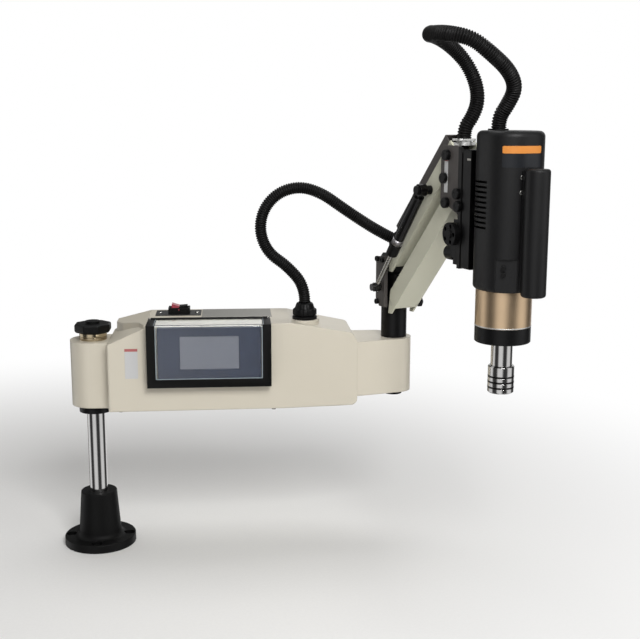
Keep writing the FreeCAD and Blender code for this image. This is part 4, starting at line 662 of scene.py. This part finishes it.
# The hood's outer faces, the width of its frame's sides, and the faces of its clear sheet.
HOOD_L, HOOD_R = 92.8, 292.8
HOOD_F, HOOD_LOW, HOOD_TOP = -79.6, 288.3, 390.9
FRAME_WIDE = 14.0
SHEET_F, SHEET_BACK, SHEET_LOW = -79.7, -26.4, 300.2
SHEET_BEND = (-75.1, 386.0)
HOOD_FRAME = (
    ((HOOD_L, HOOD_F, HOOD_LOW), (95.8, -62.4, 390.6)),
    ((289.8, HOOD_F, HOOD_LOW), (HOOD_R, -62.4, 390.6)),
    ((HOOD_L, HOOD_F, HOOD_LOW), (HOOD_R, -62.4, 290.6)),
    ((HOOD_L, -80, 388.9), (HOOD_L + FRAME_WIDE, -23.4, HOOD_TOP)),
    ((HOOD_R - FRAME_WIDE, -80, 388.9), (HOOD_R, -23.4, HOOD_TOP)),
    ((96.8, -27.5, 389.2), (288.8, -23.4, HOOD_TOP)),
)
# Pale strips on the clear sheet along the frame's inner edges: a painted highlight where the
# acrylic's edges catch the light.
HOOD_EDGE_HIGHLIGHTS = (
    ((107.0, -80.25, 302.6), (108.1, -79.75, 386.5)),
    ((277.5, -80.25, 302.6), (278.6, -79.75, 386.5)),
    ((107.0, -80.25, 302.5), (278.6, -79.75, 303.6)),
    ((104.6, -79.0, 390.62), (105.6, -27.0, 390.95)),
    ((280.0, -79.0, 390.62), (281.0, -27.0, 390.95)),
)


def add_hood():
    """Black frame open at its back, with one clear sheet bent over its front and top, and pale
    strips on the sheet as painted highlights of its edges.
    """
    bm = bmesh.new()
    left, right, foot, head = HOOD_L + FRAME_WIDE, HOOD_R - FRAME_WIDE, 302.3, 389.4
    prism_into(bm, [(HOOD_L, HOOD_LOW), (HOOD_R, HOOD_LOW), (HOOD_R, head), (right, head),
                    (right, foot), (left, foot), (left, head), (HOOD_L, head)], 77.8, 80.0,
               STAND_MM @ FRONTWARD, 0.5)
    for low, high in HOOD_FRAME:
        box_into(bm, low, high, STAND_MM, 0.45)
    lathe_into(bm, [(1.05, 97.2), (1.9, 97.2), (1.9, 288.4), (1.05, 288.4)],
               STAND_MM @ at(0, -23, 391.35) @ TURN_X, 24)
    piece("hood_frame", to_mesh("hood_frame", bm), BLACK_PLASTIC, "hood", "black_plastic",
          ("cover_frame",), 30)
    bm = bmesh.new()
    y, z = SHEET_BEND
    turns = [math.pi / 2 * k / 8 for k in range(1, 9)]
    outline = [(SHEET_F, SHEET_LOW), (SHEET_F, z)]
    outline += [(y - 4.6 * math.cos(t), z + 4.6 * math.sin(t)) for t in turns]
    outline += [(SHEET_BACK, 390.6), (SHEET_BACK, 389.2), (y, 389.2)]
    outline += [(y - 3.2 * math.sin(t), z + 3.2 * math.cos(t)) for t in turns]
    outline += [(-78.3, SHEET_LOW)]
    prism_into(bm, outline, 104.4, 281.2, STAND_MM @ CROSS)
    piece("hood_sheet", to_mesh("hood_sheet", bm), CLEAR, "hood", "clear_cover",
          ("cover_window",), 40)
    boxes("hood_sheet_edge_highlights", HOOD_EDGE_HIGHLIGHTS, STAND_MM, EDGE_LIT, "hood", "clear_cover", 0.12)


SWITCH_X, SWITCH_Y = 140, 38.2
SCREW_APART = 31
ROCKER_RED_BELOW = 0.1407


def add_switch():
    """Rocker with its left half red, and the two screws of its plate, each with a dark strip
    painted on as the shade of its slot.
    """
    bm = bmesh.new()
    bm.from_mesh(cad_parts["rocker_switch"].data)
    mesh = to_mesh("rocker", bm)
    piece("rocker", mesh, BLACK_PLASTIC, "rocker", "black_plastic", ("rocker_switch",), 25)
    mesh.materials.append(RED)
    for face in mesh.polygons:
        if face.center.x < ROCKER_RED_BELOW:
            face.material_index = 1
    screws, slot_shade = bmesh.new(), bmesh.new()
    for k in (-1, 1):
        place = STAND_MM @ at(SWITCH_X + SCREW_APART * k, SWITCH_Y, ARM_TOP + 1.2)
        lathe_into(screws, [(0, 0), (3.4, 0), (3.3, 0.7), (2.6, 1.3), (1.2, 1.6), (0, 1.65)],
                   place, 32)
        # The slot is not cut: a dark strip on the head is its painted shade.
        box_into(slot_shade, (-2.4, -0.35, 1.55), (2.4, 0.35, 1.8),
                 place @ Matrix.Rotation(math.radians(25 * k), 4, "Z"))
    piece("plate_screws", to_mesh("plate_screws", screws), STEEL, "arm", "bare_steel")
    piece("plate_screw_slot_shade", to_mesh("plate_screw_slot_shade", slot_shade), LABEL_DARK, "arm",
          "black_metal")


GLAND_PLACE = (350.6, -18.0, 393.2)
GLAND_PROFILE = (
    (11.2, 0.2), (17.2, 0.2), (17.2, 1.5), (19.9, 2.3), (19.9, 9.6), (19.2, 11.2), (17.0, 12.3),
    (15.4, 15.6), (14.4, 19.0), (13.2, 21.2), (11.6, 22.2), (10.4, 22.2),
)


def add_gland():
    """Ribbed compression nut with its rounded sealing dome."""
    count = 96
    rings = []
    for radius, height in GLAND_PROFILE:
        dip = 0.055 if radius > 19 else (0.03 if 13 < radius < 17 else 0.0)
        ring = []
        for k in range(count):
            angle = 2 * math.pi * k / count
            r = radius * (1 - dip * (1 if math.cos(12 * angle) < -0.35 else 0))
            ring.append((r * math.cos(angle), r * math.sin(angle), height))
        rings.append(ring)
    bm = bmesh.new()
    ring_stack(bm, rings, STAND_MM @ at(*GLAND_PLACE), count, closed=False)
    piece("gland_cap", to_mesh("gland_cap", bm), BLACK_PLASTIC, "arm", "black_plastic",
          ("gland_nut",), 35)


# Plan of the motor cover's front: a flat strip to both sides of its middle, then a round corner.
COVER_FRONT = 50
FLAT_HALF = 4
CORNER_RADIUS = 40


def on_cover(s, out=0.0):
    """Point on the motor cover's side, s mm round it from the middle of its front."""
    if abs(s) <= FLAT_HALF:
        return COVER_FRONT + out, s
    turn = (abs(s) - FLAT_HALF) / CORNER_RADIUS
    sign = 1 if s > 0 else -1
    reach = CORNER_RADIUS + out
    return (COVER_FRONT - CORNER_RADIUS + reach * math.cos(turn),
            sign * (FLAT_HALF + reach * math.sin(turn)))


def wrap(name, look, low, high, start=-40, end=19.5, thick=0.25, steps=28):
    """Thin label that follows the motor cover's rounded corner."""
    bm = bmesh.new()
    rows = []
    for k in range(steps + 1):
        s = start + (end - start) * k / steps
        inset = 0.8 if k in (0, steps) else 0.0
        near, far = on_cover(s, EMBED), on_cover(s, thick)
        rows.append([bm.verts.new(MOTOR_MM @ Vector(p)) for p in
                     ((*near, low + inset), (*far, low + inset),
                      (*far, high - inset), (*near, high - inset))])
    for a, b in zip(rows, rows[1:]):
        for k in range(4):
            n = (k + 1) % 4
            bm.faces.new((a[k], b[k], b[n], a[n]))
    bm.faces.new(rows[0])
    bm.faces.new(rows[-1][::-1])
    return piece(name, to_mesh(name, bm), look, "motor", "black_plastic", smooth=40)


SIDE_SCREWS = ((-11.8, 45.3), (-12.3, 24.8))
SLEEVE_RINGS = (-258.5, -250.5, -242.5)


def add_motor_details():
    """Bare labels, the pod's screws, the sleeve's rings, the ring's bright edge and a small tag."""
    wrap("cover_label_top", LABEL_ORANGE, 77.4, 87.4)
    wrap("cover_label", LABEL_DARK, 58.5, 77.2)
    bm = bmesh.new()
    for s, z in SIDE_SCREWS:
        x, y = on_cover(s)
        ahead = Vector((x - COVER_FRONT + CORNER_RADIUS, y + FLAT_HALF, 0)).normalized()
        place = MOTOR_MM @ at(x, y, z) @ ahead.to_track_quat("Z", "Y").to_matrix().to_4x4()
        socket_cap(bm, place, 3.2, 1.5, 1.6, knurl=0.0)
    piece("cover_side_screws", to_mesh("cover_side_screws", bm), STEEL, "motor", "bare_steel",
          smooth=25)
    bm = bmesh.new()
    for low in SLEEVE_RINGS:
        lathe_into(bm, [(17.3, low - 0.5), (18.6, low - 0.4), (19.12, low + 0.1),
                        (19.12, low + 2.5), (18.6, low + 3.0), (17.3, low + 3.1)], MOTOR_MM)
    piece("sleeve_rings", to_mesh("sleeve_rings", bm), GLOSS_BLACK, "sleeve", "black_rubber")
    bm = bmesh.new()
    lathe_into(bm, [(39.6, -166.9), (40.25, -166.7), (40.3, -165.9), (40.25, -165.2),
                    (39.6, -165.0)], MOTOR_MM, 96)
    piece("ring_bright_edge", to_mesh("ring_bright_edge", bm), SILVER, "motor", "gold_aluminium")
    boxes("back_plate_tag", [((-59.5, -28.5, 64.0), (-50.5, -28.05, 67.0))], MOTOR_MM, SHEET,
          "motor", "blank_metal", 0.2)


BRACKET_FRONT = -28.0
# name, look, body, frame, the face it lies on, left and right, low and high
FLAT_LABELS = (
    ("arm_label", LABEL_WHITE, "arm", STAND_MM, ARM_FRONT, (56.6, 77.4), (300.6, 345.4)),
    ("arm_label_top", LABEL_ROSE, "arm", STAND_MM, ARM_FRONT, (56.6, 77.4), (345.6, 350.0)),
    ("bracket_label", LABEL_WHITE, "head", HEAD_MM, BRACKET_FRONT, (-7.8, 1.6), (15.0, 61.0)),
    ("bracket_label_top", LABEL_ROSE, "head", HEAD_MM, BRACKET_FRONT, (-7.8, 1.6), (61.2, 69.0)),
)


def add_labels():
    for name, look, body, matrix, face, (left, right), (low, high) in FLAT_LABELS:
        boxes(name, [((left, face - LABEL_THICK, low), (right, face - EMBED, high))], matrix, look,
              body, "panel_plastic", 0.1)


def add_spring_band():
    bm = bmesh.new()
    lathe_into(bm, [(9.02, 103.0), (9.16, 103.2), (9.16, 114.4), (9.02, 114.6)],
               SPRING_MM @ TURN_X, 64)
    piece("tube_band", to_mesh("tube_band", bm), BAND, "gas_tube", "bare_steel")


ANCHOR_FRONT = -30.0
ANCHOR_BOLTS = ((-3.5, 486.0), (13.0, 486.0), (-3.5, 414.0))
BEAM_PIN = (28, 28.1, 414)


def add_elbow_details():
    """Bolts and label of the spring's anchor plate, and the nut on the beam's lower pin."""
    bm = bmesh.new()
    for x, z in ANCHOR_BOLTS:
        socket_cap(bm, ELBOW_MM @ at(x, ANCHOR_FRONT, z) @ FRONTWARD, 4.6, 4.2, 2.2)
    piece("anchor_bolts", to_mesh("anchor_bolts", bm), BLACK, "elbow", "black_metal", smooth=25)
    bm = bmesh.new()
    place = ELBOW_MM @ at(*BEAM_PIN) @ BACKWARD
    prism_into(bm, [(x, y) for x, y, _ in circle(9.2, 0, 6)], 0, 7.0, place, 0.5)
    lathe_into(bm, [(0, 6.5), (4.4, 6.5), (4.4, 9.2), (3.8, 9.8), (0, 9.8)], place, 32)
    piece("pin_nut", to_mesh("pin_nut", bm), BLACK, "elbow", "black_metal", smooth=25)
    low, high = (-8.6, ANCHOR_FRONT - LABEL_THICK, 430.0), (-2.0, ANCHOR_FRONT - EMBED, 447.0)
    boxes("anchor_label", [(low, high)], ELBOW_MM, LABEL_WHITE, "elbow", "panel_plastic", 0.1)


add_hood()
add_switch()
add_gland()
add_motor_details()
add_labels()
add_spring_band()
add_elbow_details()
head_caps("bracket_pin_caps", "upper_pivot_pins", HEAD_MM, [(0, 0), (0, 70)], "head")
head_caps("bracket_bolt_caps", "head_bolts", HEAD_MM, [(-6.7, 36), (29.3, 15), (32.9, -3)], "head")
head_caps("elbow_pin_caps", "lower_pivot_pins", ELBOW_MM, [(28, 414), (28, 484)], "elbow")


# ---------------------------------------------------------------- stage and light
ROOM_BANDS = 4.0
FLOOR_MIDDLE = 0.3
FLOOR_SIDES = 48
FLOOR_RINGS = (0.5, 1.0, 2.0, 4.0, 9.0)
FADE_FROM, FADE_TO = 0.35, 1.5
AMBIENT = 0.30
WHITE = (1, 1, 1, 1)


def mirrored_room(tree, direction):
    """Brightness of what metal mirrors that way: a pale room with a few dark uprights."""
    split = tree.nodes.new("ShaderNodeSeparateXYZ")
    tree.links.new(direction, split.inputs[0])
    turn = tree.nodes.new("ShaderNodeMath")
    turn.operation = "ARCTAN2"
    tree.links.new(split.outputs["X"], turn.inputs[0])
    tree.links.new(split.outputs["Y"], turn.inputs[1])
    bands = tree.nodes.new("ShaderNodeMath")
    bands.operation = "MULTIPLY"
    bands.inputs[1].default_value = ROOM_BANDS
    tree.links.new(turn.outputs[0], bands.inputs[0])
    wave = tree.nodes.new("ShaderNodeMath")
    wave.operation = "SINE"
    tree.links.new(bands.outputs[0], wave.inputs[0])
    ramp = tree.nodes.new("ShaderNodeMapRange")
    for key, value in (("From Min", -0.5), ("From Max", 0.45), ("To Min", 0.06), ("To Max", 1.05)):
        ramp.inputs[key].default_value = value
    tree.links.new(wave.outputs[0], ramp.inputs["Value"])
    return ramp.outputs["Result"]


def mixed(tree, fac, first, second):
    """Shader that is the first where fac is 0 and the second where it is 1."""
    node = tree.nodes.new("ShaderNodeMixShader")
    for socket, value in zip(node.inputs, (fac, first, second)):
        tree.links.new(value, socket)
    return node.outputs[0]


def add_stage():
    """Pale floor that fades to white, and that metal mirrors as more of the room."""
    bm = bmesh.new()
    rings = [[bm.verts.new((FLOOR_MIDDLE, 0, 0))]]
    for radius in FLOOR_RINGS:
        rings.append([bm.verts.new((FLOOR_MIDDLE + x, y, 0))
                      for x, y, _ in circle(radius, 0, FLOOR_SIDES)])
    for a, b in zip(rings, rings[1:]):
        for k in range(FLOOR_SIDES):
            n = (k + 1) % FLOOR_SIDES
            bm.faces.new((a[0], b[k], b[n]) if len(a) == 1 else (a[k], b[k], b[n], a[n]))
    g = Graph("floor")
    speck = g.mix(g.noise(220.0, 4.0), lin(232, 231, 229), lin(240, 239, 237))
    path = g.tree.nodes.new("ShaderNodeLightPath")
    seen = g.math("MAXIMUM", path.outputs["Is Camera Ray"], path.outputs["Is Transmission Ray"])
    g.set(base=speck, rough=0.7)
    white = g.tree.nodes.new("ShaderNodeEmission")
    white.inputs["Color"].default_value = WHITE
    length = g.tree.nodes.new("ShaderNodeVectorMath")
    length.operation = "LENGTH"
    g.link(g.coords.outputs["Object"], length.inputs[0])
    far = g.tree.nodes.new("ShaderNodeMapRange")
    far.interpolation_type = "SMOOTHSTEP"
    far.inputs["From Min"].default_value = FADE_FROM
    far.inputs["From Max"].default_value = FADE_TO
    g.link(length.outputs["Value"], far.inputs["Value"])
    fading = mixed(g.tree, g.math("MULTIPLY", far.outputs["Result"], seen), g.shader.outputs[0],
                   white.outputs[0])
    back = g.tree.nodes.new("ShaderNodeNewGeometry")
    ahead = g.tree.nodes.new("ShaderNodeVectorMath")
    ahead.operation = "SCALE"
    ahead.inputs["Scale"].default_value = -1.0
    g.link(back.outputs["Incoming"], ahead.inputs[0])
    glow = g.tree.nodes.new("ShaderNodeEmission")
    g.link(mirrored_room(g.tree, ahead.outputs[0]), glow.inputs["Strength"])
    g.link(mixed(g.tree, path.outputs["Is Glossy Ray"], fading, glow.outputs[0]),
           g.out.inputs["Surface"])
    piece("floor", to_mesh("floor", bm), g.mat)


def add_world():
    """White to the camera and through the hood, banded to what mirrors it, dim to the rest."""
    world = bpy.data.worlds.new("studio")
    world.use_nodes = True
    scene.world = world
    tree = world.node_tree
    background = tree.nodes["Background"]
    background.inputs["Color"].default_value = WHITE
    background.inputs["Strength"].default_value = AMBIENT
    shown = tree.nodes.new("ShaderNodeBackground")
    shown.inputs["Color"].default_value = WHITE
    room = tree.nodes.new("ShaderNodeBackground")
    coords = tree.nodes.new("ShaderNodeTexCoord")
    tree.links.new(mirrored_room(tree, coords.outputs["Generated"]), room.inputs["Strength"])
    path = tree.nodes.new("ShaderNodeLightPath")
    mirrored = mixed(tree, path.outputs["Is Glossy Ray"], background.outputs[0], room.outputs[0])
    seen = tree.nodes.new("ShaderNodeMath")
    seen.operation = "MAXIMUM"
    tree.links.new(path.outputs["Is Camera Ray"], seen.inputs[0])
    tree.links.new(path.outputs["Is Transmission Ray"], seen.inputs[1])
    tree.links.new(mixed(tree, seen.outputs[0], mirrored, shown.outputs[0]),
                   tree.nodes["World Output"].inputs["Surface"])


def add_lamp(name, place, target, size, watts):
    data = bpy.data.lights.new(name, "AREA")
    data.shape = "RECTANGLE"
    data.size, data.size_y = size
    data.energy = watts
    lamp = bpy.data.objects.new(name, data)
    lamp.location = place
    lamp.rotation_euler = (Vector(target) - Vector(place)).to_track_quat("-Z", "Y").to_euler()
    scene.collection.objects.link(lamp)


add_stage()
add_world()
add_lamp("key", (0.75, -1.9, 1.7), (0.3, 0, 0.4), (0.9, 0.9), 38)
add_lamp("fill", (1.9, -1.3, 1.2), (0.4, 0, 0.4), (0.9, 1.2), 3)
add_lamp("top", (0.3, 0.5, 2.4), (0.3, 0, 0.3), (1.4, 1.0), 13)
